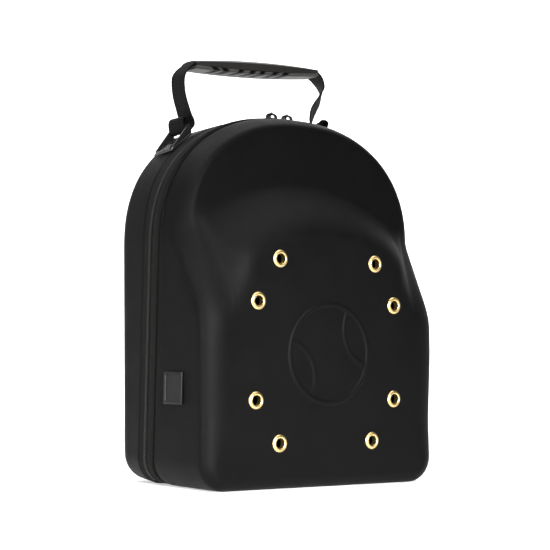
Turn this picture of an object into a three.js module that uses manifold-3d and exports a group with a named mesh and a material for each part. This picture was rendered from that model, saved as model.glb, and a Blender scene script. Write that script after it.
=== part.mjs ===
// A carrier case for baseball caps: two moulded padded shells, zipped round their joint, with a carry handle.
// Millimetres, +Z up. The front looks along -Y, the bottom lies on Z = 0, and the origin is under the middle.
import * as THREE from "three";
import { mergeVertices } from "three/addons/utils/BufferGeometryUtils.js";
import Module from "manifold-3d";

// Body outline, seen from the front
const BODY_HEIGHT = 305;
const BODY_WIDTH = 238.6; // across the straight sides, at the bottom
const SIDE_FLARE = 3.9; // how much further out each side stands where the arch springs
const ARCH_RISE = 108.3; // from the springing to the top
const ARCH_POWER = 2.31; // 2 is an ellipse, more is squarer
const CORNER_RADIUS = 23.5;
const WALL = 4; // moulded foam with cloth on both faces

// Zip joint
const ZIP_LEAN = 0.055; // how far the joint comes forward for each millimetre of height
const ZIP_LEVEL = 150; // height where the joint crosses the case's own Y = 0
const COIL_WIDTH = 4.6;
const COIL_PROUD = 0.2;
const TAPE_GAP = 0.3;
const FRONT_TAPE = 12.1; // tape, binding and groove, from the coil to the front shell's edge
const BINDING_PROUD = 0.8;
const BACK_TAPE = 5.4;
const BACK_TAPE_EXTRA = 5; // what the back tape gains over the arch
const TAPE_SUNK = 0.6;
const GROOVE_DEPTH = 2.4;

// Back shell
const BACK_DEPTH = 52.8;
const BACK_FILLET = 18;
const BACK_DRAFT = 0.035;
const BACK_FLOOR_DRAFT = 0.057;

// Front shell: a shallow upper face and a deep bulge below it
const UPPER_DEPTH = 45.2;
const UPPER_FILLET = 20;
const UPPER_DRAFT = 0.023;
const BULGE_DEPTH = 79.7;
const BULGE_FILLET = 10.4; // along the depth
const BULGE_FILLET_ACROSS = 20.8;
const BULGE_EDGE = 26; // how far inside the outline the face's depth sets the wall's
const FLOOR_FILLET = 9.6;
const BULGE_DRAFT = 0.03;
const BULGE_TOP = 244; // height of the valley line over the bulge
const BULGE_HALF_WIDTH = 117.7;
const BULGE_RISE = 191.7;
const BULGE_POWER = 2.83;
const BULGE_RAMP = 20.8; // from the valley line to the full depth, at the sides
const BULGE_RAMP_TOP = 40; // and over the top
const RAMP_POWER = 1.6;

// Eyelets, in a ring of eight on the bulge
const EYELET_BORE = 7.6;
const EYELET_FLANGE = 14;
const EYELET_TUBE = 0.9;
const EYELET_PROUD = 1.3;
// Height is a share of the bulge's top and spread is a share of its half width.
const eyeletRows = [
  { height: 0.75, spread: 0.4172 },
  { height: 0.6107, spread: 0.5956 },
  { height: 0.2906, spread: 0.6041 },
  { height: 0.1504, spread: 0.4044 },
];

// Side patch
const PATCH = { depth: 25, height: 25.6, thick: 1.6, rim: 2.6, sunk: 0.8, level: 79.6, fromJoint: 40.6 };

// Zip sliders and pulls
const SLIDER = { length: 12.4, width: 9, plate: 1.3, waist: 6.4 };
const SLIDER_SPACING = 16.4;
const SLIDER_SHIFT = 1; // the two meet a little to the right of the top
const BRIDGE = { length: 9.4, width: 1.8, height: 6.2, hole: 5.6, bar: 1.2 };
const PULL = { wire: 1, eye: 1.4, neck: 3, width: 8, thick: 2, length: 27 };

// Handle
const ANCHOR = { length: 27, width: 25.6, plate: 1.6, lug: 1.7, bar: 4, barRise: 7, barInset: 15, rim: 1.2 };
const ANCHOR_TURN = 47.8; // place on the arch, in degrees of its curve parameter
const ANCHOR_SLANT = 7; // the back end of each anchor's bar lies lower, in degrees
const HANDLE_Y = 22.5; // behind the joint's level line
const WEBBING = { width: 20, thick: 1.6, ease: 0.8 }; // ease is the slack round the anchor's bar
const GRIP = { length: 129, width: 26, middleX: -6.5, rise: 59.2, tilt: 3.6 };
const PAD = { edge: 3.4, crown: 2.8, sag: 2 };
const GRIP_BODY = { thick: 2.8, round: 2.2 };
const TAIL_LEFT = 12;
const TAIL_RIGHT = 19;
const CLEARANCE = 0.3;

// The two straps, from the anchor's bar to the grip. Rise and out are shares of the strap's height, out is away
// from the case's middle and from the straight line to the grip's end, and turn is in degrees about the vertical.
const strapLeft = [
  { rise: 0.015, out: -0.103, turn: 0 },
  { rise: 0.06, out: -0.119, turn: 0 },
  { rise: 0.135, out: -0.1, turn: 0 },
  { rise: 0.208, out: -0.056, turn: 0 },
  { rise: 0.354, out: 0.023, turn: 1 },
  { rise: 0.5, out: 0.095, turn: 2 },
  { rise: 0.64, out: 0.141, turn: 2 },
  { rise: 0.75, out: 0.161, turn: 1 },
  { rise: 0.83, out: 0.154, turn: 0 },
  { rise: 0.91, out: 0.11, turn: 0 },
  { rise: 0.97, out: 0.05, turn: 0 },
];
const strapRight = [
  { rise: 0.021, out: -0.118, turn: 2 },
  { rise: 0.077, out: -0.187, turn: 6 },
  { rise: 0.133, out: -0.248, turn: 14 },
  { rise: 0.205, out: -0.25, turn: 25 },
  { rise: 0.292, out: -0.226, turn: 39 },
  { rise: 0.367, out: -0.19, turn: 44 },
  { rise: 0.452, out: -0.134, turn: 48 },
  { rise: 0.532, out: -0.059, turn: 49 },
  { rise: 0.63, out: 0.039, turn: 44 },
  { rise: 0.73, out: 0.11, turn: 34 },
  { rise: 0.815, out: 0.127, turn: 22 },
  { rise: 0.91, out: 0.099, turn: 10 },
  { rise: 0.975, out: 0.046, turn: 2 },
];
// The free ends past the bar, as shares of each end's own length.
const tailLeft = [
  { rise: 0.41, out: -0.075, turn: 0 },
  { rise: 0.6, out: -0.11, turn: 0 },
  { rise: 0.75, out: 0.05, turn: 0 },
  { rise: 0.72, out: 0.25, turn: 0 },
  { rise: 0.52, out: 0.367, turn: 0 },
  { rise: 0.28, out: 0.35, turn: 0 },
];
const tailRight = [
  { rise: 0.69, out: -0.45, turn: 42 },
  { rise: 0.78, out: -0.56, turn: 42 },
  { rise: 0.93, out: -0.51, turn: 42 },
  { rise: 0.965, out: -0.36, turn: 42 },
  { rise: 0.75, out: -0.25, turn: 40 },
  { rise: 0.5, out: -0.02, turn: 26 },
  { rise: 0.22, out: 0.15, turn: 8 },
];

// How finely the curves are cut
const CORNER_STEPS = 5;
const SIDE_STEPS = 4;
const ARCH_STEPS = 15;
const FILLET_STEPS = 4;
const ROUND_STEPS = 16;
const WEBBING_STEPS = 72;
const GRIP_STEPS = 10;

const wasm = await Module();
wasm.setup();

const clamp = THREE.MathUtils.clamp;
const lerp = THREE.MathUtils.lerp;
const smooth = THREE.MathUtils.smoothstep;
const radians = THREE.MathUtils.degToRad;

// Materials

const shellCloth = new THREE.MeshStandardMaterial({ color: 0x17181a, roughness: 0.72, metalness: 0 });
const zipCloth = new THREE.MeshStandardMaterial({ color: 0x24231f, roughness: 0.9, metalness: 0 });
const webbingCloth = new THREE.MeshStandardMaterial({ color: 0x121212, roughness: 0.85, metalness: 0 });
const coilPlastic = new THREE.MeshStandardMaterial({ color: 0x131313, roughness: 0.45, metalness: 0 });
const sliderPaint = new THREE.MeshStandardMaterial({ color: 0x101010, roughness: 0.35, metalness: 0.4 });
const anchorPlastic = new THREE.MeshStandardMaterial({ color: 0x141315, roughness: 0.3, metalness: 0 });
const gripRubber = new THREE.MeshStandardMaterial({ color: 0x4a4a4a, roughness: 0.6, metalness: 0 });
const padPlastic = new THREE.MeshStandardMaterial({ color: 0x232221, roughness: 0.5, metalness: 0 });
const patchRubber = new THREE.MeshStandardMaterial({ color: 0x1b1b1c, roughness: 0.5, metalness: 0 });
const brass = new THREE.MeshStandardMaterial({ color: 0xd8ac55, roughness: 0.25, metalness: 1 });

// The case in its own frame, where Y = 0 is the joint at the zip level. The group moves it over the origin.
const carrier = new THREE.Group();
carrier.position.y = (BULGE_DEPTH + CLEARANCE + EYELET_PROUD - BACK_DEPTH) / 2;

function addPiece(name, geometry, material, parent = carrier) {
  const mesh = new THREE.Mesh(geometry, material);
  mesh.name = name;
  parent.add(mesh);
  return mesh;
}

// Meshes and solids

// A geometry from points and triangles, with its faces turned outwards.
function outward(points, triangles) {
  let volume = 0;
  const cross = new THREE.Vector3();
  for (let i = 0; i < triangles.length; i += 3) {
    const [a, b, c] = triangles.slice(i, i + 3).map((k) => points[k]);
    volume += cross.crossVectors(b, c).dot(a);
  }
  const faces = volume < 0 ? triangles.slice().reverse() : triangles;
  return new THREE.BufferGeometry().setFromPoints(points).setIndex(faces);
}

// Joins rings of points that each close on themselves. The ends are closed by a point, by triangles over the
// ring, or by each other.
function loft(rings, ends) {
  const count = rings[0].length;
  const points = rings.flat();
  const triangles = [];
  const last = ends.loop ? rings.length : rings.length - 1;
  for (let r = 0; r < last; r++) {
    const next = (r + 1) % rings.length;
    for (let j = 0; j < count; j++) {
      const k = (j + 1) % count;
      const [a, b] = [r * count + j, r * count + k];
      const [c, d] = [next * count + j, next * count + k];
      triangles.push(a, b, d, a, d, c);
    }
  }
  if (ends.tips) {
    const base = (rings.length - 1) * count;
    points.push(ends.tips[0], ends.tips[1]);
    for (let j = 0; j < count; j++) {
      const k = (j + 1) % count;
      triangles.push(points.length - 2, k, j);
      triangles.push(points.length - 1, base + j, base + k);
    }
  }
  if (ends.flat) {
    const base = (rings.length - 1) * count;
    const reversed = THREE.ShapeUtils.isClockWise(ends.flat);
    for (const face of THREE.ShapeUtils.triangulateShape(ends.flat, [])) {
      const [i, j, k] = reversed ? face.reverse() : face;
      triangles.push(i, k, j);
      triangles.push(base + i, base + j, base + k);
    }
  }
  return outward(points, triangles);
}

function toSolid(geometry) {
  const bare = geometry.index ? geometry.toNonIndexed() : geometry.clone();
  bare.deleteAttribute("normal");
  bare.deleteAttribute("uv");
  const merged = mergeVertices(bare, 1e-3);
  return new wasm.Manifold(
    new wasm.Mesh({
      numProp: 3,
      vertProperties: merged.attributes.position.array,
      triVerts: new Uint32Array(merged.index.array),
    }),
  );
}

function toGeometry(solid) {
  const mesh = solid.getMesh();
  const geometry = new THREE.BufferGeometry();
  geometry.setAttribute("position", new THREE.BufferAttribute(new Float32Array(mesh.vertProperties), 3));
  geometry.setIndex(new THREE.BufferAttribute(new Uint32Array(mesh.triVerts), 1));
  return geometry;
}

function joined(...geometries) {
  return toGeometry(geometries.map(toSolid).reduce((all, one) => all.add(one)));
}

function cutBy(geometry, ...cutters) {
  return toGeometry(cutters.map(toSolid).reduce((all, one) => all.subtract(one), toSolid(geometry)));
}

// A plate drawn as an outline of [x, y] pairs in a vertical plane along X, given its thickness along Y.
function uprightPlate(outline, thick, middleY = 0, hole = null) {
  const shape = new THREE.Shape(outline.map(([x, z]) => new THREE.Vector2(x, z)));
  if (hole) shape.holes.push(new THREE.Path(hole.map(([x, z]) => new THREE.Vector2(x, z))));
  const plate = new THREE.ExtrudeGeometry(shape, { depth: thick, bevelEnabled: false });
  return plate.rotateX(Math.PI / 2).translate(0, middleY + thick / 2, 0);
}

function crossBar(diameter, length) {
  return new THREE.CylinderGeometry(diameter / 2, diameter / 2, length, ROUND_STEPS);
}

// Body outline

// Stations round the outline, the right half from the bottom's middle to the arch's top and the left half back.
function outlineStations() {
  const half = [{ part: "floor", share: 0 }, { part: "floor", share: 0.6 }];
  for (let i = 0; i <= CORNER_STEPS; i++) half.push({ part: "corner", share: i / CORNER_STEPS });
  for (let i = 1; i < SIDE_STEPS; i++) half.push({ part: "side", share: i / SIDE_STEPS });
  for (let i = 0; i <= ARCH_STEPS; i++) half.push({ part: "arch", share: i / ARCH_STEPS });
  const right = half.map((station) => ({ ...station, hand: 1 }));
  const left = half.slice(1, -1).reverse().map((station) => ({ ...station, hand: -1 }));
  return [...right, ...left];
}

const stations = outlineStations();
const SPRINGING = BODY_HEIGHT - ARCH_RISE;

// A point of the outline moved inwards by the inset.
function outlinePoint({ part, share, hand }, inset = 0) {
  const foot = BODY_WIDTH / 2 - inset;
  const radius = Math.max(CORNER_RADIUS - inset, 2);
  if (part === "floor") return { x: hand * share * (foot - radius), z: inset };
  if (part === "corner") {
    const angle = (share * Math.PI) / 2;
    return { x: hand * (foot - radius + radius * Math.sin(angle)), z: inset + radius * (1 - Math.cos(angle)) };
  }
  if (part === "side") return { x: hand * (foot + SIDE_FLARE * share), z: lerp(inset + radius, SPRINGING, share) };
  return archPoint((share * Math.PI) / 2, inset, hand);
}

function archPoint(angle, inset, hand) {
  const half = BODY_WIDTH / 2 + SIDE_FLARE - inset;
  const x = half * Math.pow(Math.max(Math.cos(angle), 0), 2 / ARCH_POWER);
  const z = SPRINGING + (ARCH_RISE - inset) * Math.pow(Math.sin(angle), 2 / ARCH_POWER);
  return { x: hand * x, z };
}

// Unit vector out of the outline at a station.
function outlineNormal(index) {
  const before = outlinePoint(stations[(index + stations.length - 1) % stations.length]);
  const after = outlinePoint(stations[(index + 1) % stations.length]);
  const length = Math.hypot(after.x - before.x, after.z - before.z);
  return { x: (after.z - before.z) / length, z: (before.x - after.x) / length };
}

function jointY(z) {
  return -ZIP_LEAN * (z - ZIP_LEVEL);
}

// How far the back tape reaches from the joint: wider over the arch.
function backReach(z) {
  return COIL_WIDTH / 2 + TAPE_GAP + BACK_TAPE + BACK_TAPE_EXTRA * smooth(z, SPRINGING, SPRINGING + 80);
}

const FRONT_REACH = COIL_WIDTH / 2 + TAPE_GAP + FRONT_TAPE;

// Shells

// Distance from the bulge's centre to its valley line, along a direction.
const bulgeCentre = { x: 0, z: BULGE_TOP - BULGE_RISE };

function valleyRadius(x, z) {
  const length = Math.hypot(x, z - bulgeCentre.z);
  if (z <= bulgeCentre.z || length === 0) return Infinity;
  const across = Math.abs(x) / length / BULGE_HALF_WIDTH;
  const up = (z - bulgeCentre.z) / length / BULGE_RISE;
  return Math.pow(Math.pow(across, BULGE_POWER) + Math.pow(up, BULGE_POWER), -1 / BULGE_POWER);
}

// How wide the ramp is on the way from the bulge's centre to a place.
function rampWidth(x, z) {
  const up = (z - bulgeCentre.z) / Math.max(Math.hypot(x, z - bulgeCentre.z), 1);
  return lerp(BULGE_RAMP, BULGE_RAMP_TOP, smooth(up, 0.84, 1));
}

// Depth of the front's face at a place: shallow above the valley line, deep inside it.
function faceDepth(x, z) {
  const inside = valleyRadius(x, z) - Math.hypot(x, z - bulgeCentre.z);
  const share = clamp(inside / rampWidth(x, z), 0, 1);
  return lerp(UPPER_DEPTH, BULGE_DEPTH, 1 - Math.pow(1 - share, RAMP_POWER));
}

// What a shell is like at a station: its full depth, its fillet along and across, its draft and its rim.
function frontForm(station) {
  const { z } = outlinePoint(station);
  const low = clamp(1 - z / (1.3 * CORNER_RADIUS), 0, 1);
  const high = smooth(z, SPRINGING - 7, SPRINGING + 43);
  const fillet = lerp(lerp(BULGE_FILLET, FLOOR_FILLET, low), UPPER_FILLET, high);
  const across = lerp(lerp(BULGE_FILLET_ACROSS, FLOOR_FILLET, low), UPPER_FILLET, high);
  const draft = lerp(BULGE_DRAFT * (1 - low), UPPER_DRAFT, high);
  const edge = outlinePoint(station, BULGE_EDGE);
  return { depth: faceDepth(edge.x, edge.z), fillet, across, draft, rim: jointY(z) - FRONT_REACH, hand: -1 };
}

function backForm(station) {
  const { z } = outlinePoint(station);
  const low = clamp(1 - z / (1.3 * CORNER_RADIUS), 0, 1);
  const draft = lerp(BACK_DRAFT, BACK_FLOOR_DRAFT, low);
  return { depth: BACK_DEPTH, fillet: BACK_FILLET, across: BACK_FILLET, draft, rim: jointY(z) + backReach(z), hand: 1 };
}

// The rings of one skin of a shell from its rim over its fillet. Skin is how deep it lies in the wall.
function wallRings(formOf, skin) {
  const rings = [];
  for (let step = -1; step <= FILLET_STEPS; step++) {
    rings.push(
      stations.map((station) => {
        const form = formOf(station);
        const straight = form.depth - form.fillet;
        const run = form.draft * straight;
        if (step < 0) {
          const { x, z } = outlinePoint(station, skin);
          return new THREE.Vector3(x, form.rim, z);
        }
        const angle = ((step / FILLET_STEPS) * Math.PI) / 2;
        const along = Math.max(form.fillet - skin, 1);
        const across = Math.max(form.across - skin, 1);
        const { x, z } = outlinePoint(station, skin + run + across * (1 - Math.cos(angle)));
        return new THREE.Vector3(x, form.hand * (straight + along * Math.sin(angle)), z);
      }),
    );
  }
  return rings;
}

// The rings of the front's face: the valley line, the ramp and the flat of the bulge.
function faceRings(edge, skin) {
  const rows = [0, 0.18, 0.42, 0.7, 1].map((down) => ({ down, shrink: 1 }));
  return [...rows, { down: 1, shrink: 0.5 }].map(({ down, shrink }) =>
    edge.map((point) => {
      const outer = Math.hypot(point.x, point.z - bulgeCentre.z);
      const start = Math.min(valleyRadius(point.x, point.z), outer - 2);
      const scale = (shrink * (start - down * rampWidth(point.x, point.z))) / outer;
      const x = point.x * scale;
      const z = lerp(bulgeCentre.z, point.z, scale);
      return new THREE.Vector3(x, skin - faceDepth(x, z), z);
    }),
  );
}

function frontSkin(skin) {
  const wall = wallRings(frontForm, skin);
  const face = faceRings(wall[wall.length - 1], skin);
  return { rings: [...wall, ...face], tip: new THREE.Vector3(0, skin - BULGE_DEPTH, bulgeCentre.z) };
}

function backSkin(skin) {
  const wall = wallRings(backForm, skin);
  const middle = BODY_HEIGHT / 2;
  const face = wall[wall.length - 1].map((point) => {
    return new THREE.Vector3(point.x / 2, BACK_DEPTH - skin, lerp(middle, point.z, 0.5));
  });
  return { rings: [...wall, face], tip: new THREE.Vector3(0, BACK_DEPTH - skin, middle) };
}

function shell(skinOf) {
  const outer = skinOf(0);
  const inner = skinOf(WALL);
  return loft([...outer.rings.slice().reverse(), ...inner.rings], { tips: [outer.tip, inner.tip] });
}

function eyeletPlaces() {
  return eyeletRows.flatMap(({ height, spread }) => [-1, 1].map((hand) => {
    return { x: hand * spread * BULGE_HALF_WIDTH, z: height * BULGE_TOP };
  }));
}

function addShells() {
  const hole = (EYELET_BORE + 2 * EYELET_TUBE + 2 * CLEARANCE) / 2;
  const drills = eyeletPlaces().map(({ x, z }) => {
    return new THREE.CylinderGeometry(hole, hole, 4 * WALL, ROUND_STEPS).translate(x, -BULGE_DEPTH, z);
  });
  addPiece("front_shell", cutBy(shell(frontSkin), ...drills), shellCloth);
  addPiece("back_shell", shell(backSkin), shellCloth);
}

// Bands that follow the outline at the joint

// Sweeps a section of { out, y } rows, where out is from the outline and y from the joint, along the stations.
function band(sectionAt, indexes, loop) {
  const rings = indexes.map((index) => {
    const place = outlinePoint(stations[index]);
    const normal = outlineNormal(index);
    return sectionAt(place.z).map(({ out, y }) => {
      return new THREE.Vector3(place.x + normal.x * out, jointY(place.z) + y, place.z + normal.z * out);
    });
  });
  const flat = sectionAt(0).map(({ out, y }) => new THREE.Vector2(out, y));
  return loft(rings, loop ? { loop } : { flat });
}

// Its binding stands proud, except along the bottom, where the case rests.
function frontTapeSection(z) {
  const proud = lerp(-TAPE_SUNK, BINDING_PROUD, smooth(z, 2, CORNER_RADIUS));
  const start = -(COIL_WIDTH / 2 + TAPE_GAP);
  const end = -FRONT_REACH + CLEARANCE;
  const binding = (share) => lerp(start, end, share);
  return [
    { out: -TAPE_SUNK, y: start },
    { out: -TAPE_SUNK, y: binding(0.2) },
    { out: proud - 0.1, y: binding(0.34) },
    { out: proud, y: binding(0.52) },
    { out: proud - 0.8, y: binding(0.66) },
    { out: -GROOVE_DEPTH, y: binding(0.72) },
    { out: -GROOVE_DEPTH, y: end },
    { out: -WALL, y: end },
    { out: -WALL, y: start },
  ];
}

function backTapeSection(z) {
  const start = COIL_WIDTH / 2 + TAPE_GAP;
  const end = backReach(z) - CLEARANCE;
  return [
    { out: -TAPE_SUNK, y: start },
    { out: -WALL, y: start },
    { out: -WALL, y: end },
    { out: -TAPE_SUNK / 2, y: end },
  ];
}

function coilSection() {
  const half = COIL_WIDTH / 2;
  return [
    { out: -WALL, y: -half },
    { out: -WALL, y: half },
    { out: -TAPE_SUNK, y: half },
    { out: COIL_PROUD, y: half / 2 },
    { out: COIL_PROUD, y: -half / 2 },
    { out: -TAPE_SUNK, y: -half },
  ];
}

function hingeSection() {
  const half = COIL_WIDTH / 2;
  return [
    { out: -WALL, y: -half },
    { out: -WALL, y: half },
    { out: -TAPE_SUNK, y: half },
    { out: -TAPE_SUNK, y: -half },
  ];
}

function addJoint() {
  const all = stations.map((_, index) => index);
  const turn = stations.findIndex(({ part, share }) => part === "corner" && share > 0.3);
  const sides = all.slice(turn, all.length - turn + 1);
  const bottom = [...all.slice(all.length - turn + 1), ...all.slice(0, turn)];
  addPiece("front_tape", band(frontTapeSection, all, true), zipCloth);
  addPiece("back_tape", band(backTapeSection, all, true), zipCloth);
  addPiece("zip_coil", band(coilSection, sides, false), coilPlastic);
  addPiece("hinge_strip", band(hingeSection, bottom, false), zipCloth);
}

// Eyelets

function eyelet() {
  const bore = EYELET_BORE / 2;
  const tube = bore + EYELET_TUBE;
  const flange = EYELET_FLANGE / 2;
  const front = CLEARANCE + EYELET_PROUD;
  const back = -(WALL + CLEARANCE);
  const profile = [
    [bore, back - EYELET_TUBE],
    [flange - 1.2, back - EYELET_TUBE],
    [flange - 1.2, back],
    [tube, back],
    [tube, CLEARANCE],
    [flange, CLEARANCE],
    [flange - 0.5, 0.7 * front],
    [(bore + flange) / 2, front],
    [bore + 0.4, 0.8 * front],
    [bore, CLEARANCE],
    [bore, back - EYELET_TUBE],
  ];
  const points = profile.map(([radius, out]) => new THREE.Vector2(radius, -out));
  const ring = new THREE.LatheGeometry(points.reverse(), ROUND_STEPS);
  return toGeometry(toSolid(ring));
}

function addEyelets() {
  const ring = eyelet();
  eyeletPlaces().forEach(({ x, z }, index) => {
    addPiece("eyelet_" + (index + 1), ring.clone(), brass).position.set(x, -BULGE_DEPTH, z);
  });
}

// Side patch

// The front shell's left wall at a place, between its rim and its fillet.
function sideWallX(y, z) {
  const share = clamp((z - CORNER_RADIUS) / (SPRINGING - CORNER_RADIUS), 0, 1);
  const half = BODY_WIDTH / 2 + SIDE_FLARE * share;
  const rim = jointY(z) - FRONT_REACH;
  const end = BULGE_FILLET - BULGE_DEPTH;
  return -(half - BULGE_DRAFT * -end * clamp((y - rim) / (end - rim), 0, 1));
}

// A plate with a raised rim round a sunk middle, laid along the side wall.
function sidePatch() {
  const rows = [
    { inset: 0, out: 0 },
    { inset: 0, out: PATCH.thick },
    { inset: PATCH.rim, out: PATCH.thick },
    { inset: PATCH.rim, out: PATCH.thick - PATCH.sunk },
  ];
  const middleY = jointY(PATCH.level) - PATCH.fromJoint;
  const rings = rows.map(({ inset, out }) => {
    const halfY = PATCH.depth / 2 - inset;
    const halfZ = PATCH.height / 2 - inset;
    return [[-1, -1], [1, -1], [1, 1], [-1, 1]].map(([sideY, sideZ]) => {
      const y = middleY + sideY * halfY;
      const z = PATCH.level + sideZ * halfZ;
      return new THREE.Vector3(sideWallX(y, z) - CLEARANCE - out, y, z);
    });
  });
  return loft(rings, { flat: rings[0].map(({ y, z }) => new THREE.Vector2(y, z)) });
}

function addSidePatch() {
  addPiece("side_patch", sidePatch(), patchRubber);
}

// Sliders and pulls

const barLevel = COIL_PROUD + CLEARANCE + BRIDGE.height - BRIDGE.bar / 2;

// The slider's plate lies over the coil, narrower in the middle, under a bridge that is open from side to side.
function slider() {
  const half = SLIDER.length / 2;
  const plan = [
    [-half, -SLIDER.waist / 2],
    [-0.6 * half, -SLIDER.width / 2],
    [0.6 * half, -SLIDER.width / 2],
    [half, -SLIDER.waist / 2],
    [half, SLIDER.waist / 2],
    [0.6 * half, SLIDER.width / 2],
    [-0.6 * half, SLIDER.width / 2],
    [-half, SLIDER.waist / 2],
  ];
  const shape = new THREE.Shape(plan.map(([x, y]) => new THREE.Vector2(x, y)));
  const plate = new THREE.ExtrudeGeometry(shape, { depth: SLIDER.plate, bevelEnabled: false });
  const foot = BRIDGE.length / 2;
  const gap = BRIDGE.hole / 2;
  const top = BRIDGE.height;
  const arch = [
    [-foot, 0.1],
    [foot, 0.1],
    [foot, 0.4 * top],
    [0.72 * foot, 0.85 * top],
    [0.4 * foot, top],
    [-0.4 * foot, top],
    [-0.72 * foot, 0.85 * top],
    [-foot, 0.4 * top],
  ];
  const under = top - BRIDGE.bar;
  const hole = [
    [-gap, SLIDER.plate],
    [gap, SLIDER.plate],
    [gap, 0.6 * top],
    [0.6 * gap, under],
    [-0.6 * gap, under],
    [-gap, 0.6 * top],
  ];
  return joined(plate, uprightPlate(arch, BRIDGE.width, 0, hole)).translate(0, 0, COIL_PROUD + CLEARANCE);
}

// The pull's eye goes round the bridge's bar, and its tab lies back over the tape. Its origin is the bar's middle.
function pull() {
  const inner = PULL.eye;
  const outer = PULL.eye + PULL.wire;
  const circle = (radius) => {
    return Array.from({ length: ROUND_STEPS }, (_, i) => {
      const angle = (2 * Math.PI * i) / ROUND_STEPS;
      return [radius * Math.cos(angle), radius * Math.sin(angle)];
    });
  };
  const across = (shape, thick, holes) => {
    return uprightPlate(shape, thick, 0, holes).rotateZ(Math.PI / 2);
  };
  const start = SLIDER.width / 2 + CLEARANCE + 0.6;
  const end = start + PULL.length;
  const bottom = COIL_PROUD + CLEARANCE - barLevel;
  const slant = -0.02 * PULL.length;
  const tab = [
    [start, bottom],
    [end, bottom + slant],
    [end, bottom + slant + PULL.thick],
    [start, bottom + PULL.thick],
  ];
  const neck = [
    [0.75 * outer, -0.65 * outer],
    [start + 1, bottom + 0.4],
    [start + 1, bottom + PULL.thick],
    [0.98 * outer, -0.1],
  ];
  const eye = across(circle(outer), PULL.wire, circle(inner));
  return joined(eye, across(neck, PULL.neck), across(tab, PULL.width));
}

function addSliders() {
  [["left", -1], ["right", 1]].forEach(([side, hand]) => {
    const place = new THREE.Group();
    place.position.set(SLIDER_SHIFT + (hand * SLIDER_SPACING) / 2, jointY(BODY_HEIGHT), BODY_HEIGHT);
    carrier.add(place);
    addPiece("slider_" + side, slider(), sliderPaint, place);
    addPiece("pull_" + side, pull(), sliderPaint, place).position.z = barLevel;
  });
}

// Handle

const anchorAngle = radians(ANCHOR_TURN);

// The back shell's left shoulder at the handle's middle: a place, the direction up the arch and the wall's lean.
function anchorSeat() {
  const rim = jointY(BODY_HEIGHT - ARCH_RISE / 4) + backReach(BODY_HEIGHT);
  const straight = BACK_DEPTH - BACK_FILLET;
  const slope = (BACK_DRAFT * straight) / (straight - rim);
  const inset = slope * (HANDLE_Y - rim);
  const place = archPoint(anchorAngle, inset, -1);
  const ahead = archPoint(anchorAngle + 0.02, inset, -1);
  const up = new THREE.Vector2(ahead.x - place.x, ahead.z - place.z).normalize();
  return { place, up, lean: Math.atan(slope) };
}

const seat = anchorSeat();

// How an anchor is turned from lying flat along X: up the arch, leaning with the wall, its back end lower.
function anchorTurn(hand) {
  const upward = Math.atan2(seat.up.y, seat.up.x);
  return new THREE.Euler(hand * seat.lean, -upward, -hand * radians(ANCHOR_SLANT), "YXZ");
}

const barAlong = ANCHOR.barInset;
const barCentre = new THREE.Vector3(barAlong, 0, ANCHOR.barRise).applyEuler(anchorTurn(-1));
barCentre.add(new THREE.Vector3(seat.place.x, 0, seat.place.z));

// Which way the back end of an anchor's bar points.
function barDirection(hand) {
  const direction = new THREE.Vector3(0, 1, 0).applyEuler(anchorTurn(-1));
  return direction.setX(-hand * direction.x);
}

// A plate with a raised rim, two lugs and the bar that the webbing turns round. Along X is up the arch.
function anchor() {
  const half = ANCHOR.length / 2;
  const side = ANCHOR.width / 2;
  const top = CLEARANCE + ANCHOR.plate;
  const outline = new THREE.Shape([
    new THREE.Vector2(-half + 3, -side),
    new THREE.Vector2(half, -side),
    new THREE.Vector2(half, side),
    new THREE.Vector2(-half + 3, side),
    new THREE.Vector2(-half, side - 3),
    new THREE.Vector2(-half, -side + 3),
  ]);
  const plate = new THREE.ExtrudeGeometry(outline, { depth: ANCHOR.plate, bevelEnabled: false });
  plate.translate(0, 0, CLEARANCE);
  const lug = [
    [-half + 3, top - 0.2],
    [half, top - 0.2],
    [barAlong + ANCHOR.bar / 2, ANCHOR.barRise - 1],
    [barAlong + ANCHOR.bar / 2, ANCHOR.barRise + 1.4],
    [barAlong - ANCHOR.bar / 2, ANCHOR.barRise + ANCHOR.bar / 2],
    [-half + 3, top + ANCHOR.rim],
  ];
  const lugs = [-1, 1].map((hand) => uprightPlate(lug, ANCHOR.lug, hand * (side - ANCHOR.lug / 2)));
  const bar = crossBar(ANCHOR.bar, ANCHOR.width - ANCHOR.lug).translate(barAlong, 0, ANCHOR.barRise);
  const lip = new THREE.BoxGeometry(ANCHOR.lug, ANCHOR.width - 6, ANCHOR.rim + 0.2);
  lip.translate(-half + ANCHOR.lug / 2 + 0.2, 0, top + ANCHOR.rim / 2 - 0.1);
  return joined(plate, ...lugs, bar, lip);
}

function addAnchors() {
  [["left", -1], ["right", 1]].forEach(([side, hand]) => {
    const place = new THREE.Group();
    place.position.set(-hand * seat.place.x, HANDLE_Y - barCentre.y, seat.place.z);
    place.rotation.z = hand < 0 ? 0 : Math.PI;
    carrier.add(place);
    const piece = addPiece("anchor_" + side, anchor(), anchorPlastic, place);
    piece.rotation.copy(anchorTurn(hand));
  });
}

const gripTilt = radians(GRIP.tilt);
const gripMiddle = { x: GRIP.middleX, z: barCentre.z + GRIP.rise };

function gripEnd(hand) {
  return {
    x: gripMiddle.x + (hand * GRIP.length * Math.cos(gripTilt)) / 2,
    z: gripMiddle.z + (hand * GRIP.length * Math.sin(gripTilt)) / 2,
  };
}

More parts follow.
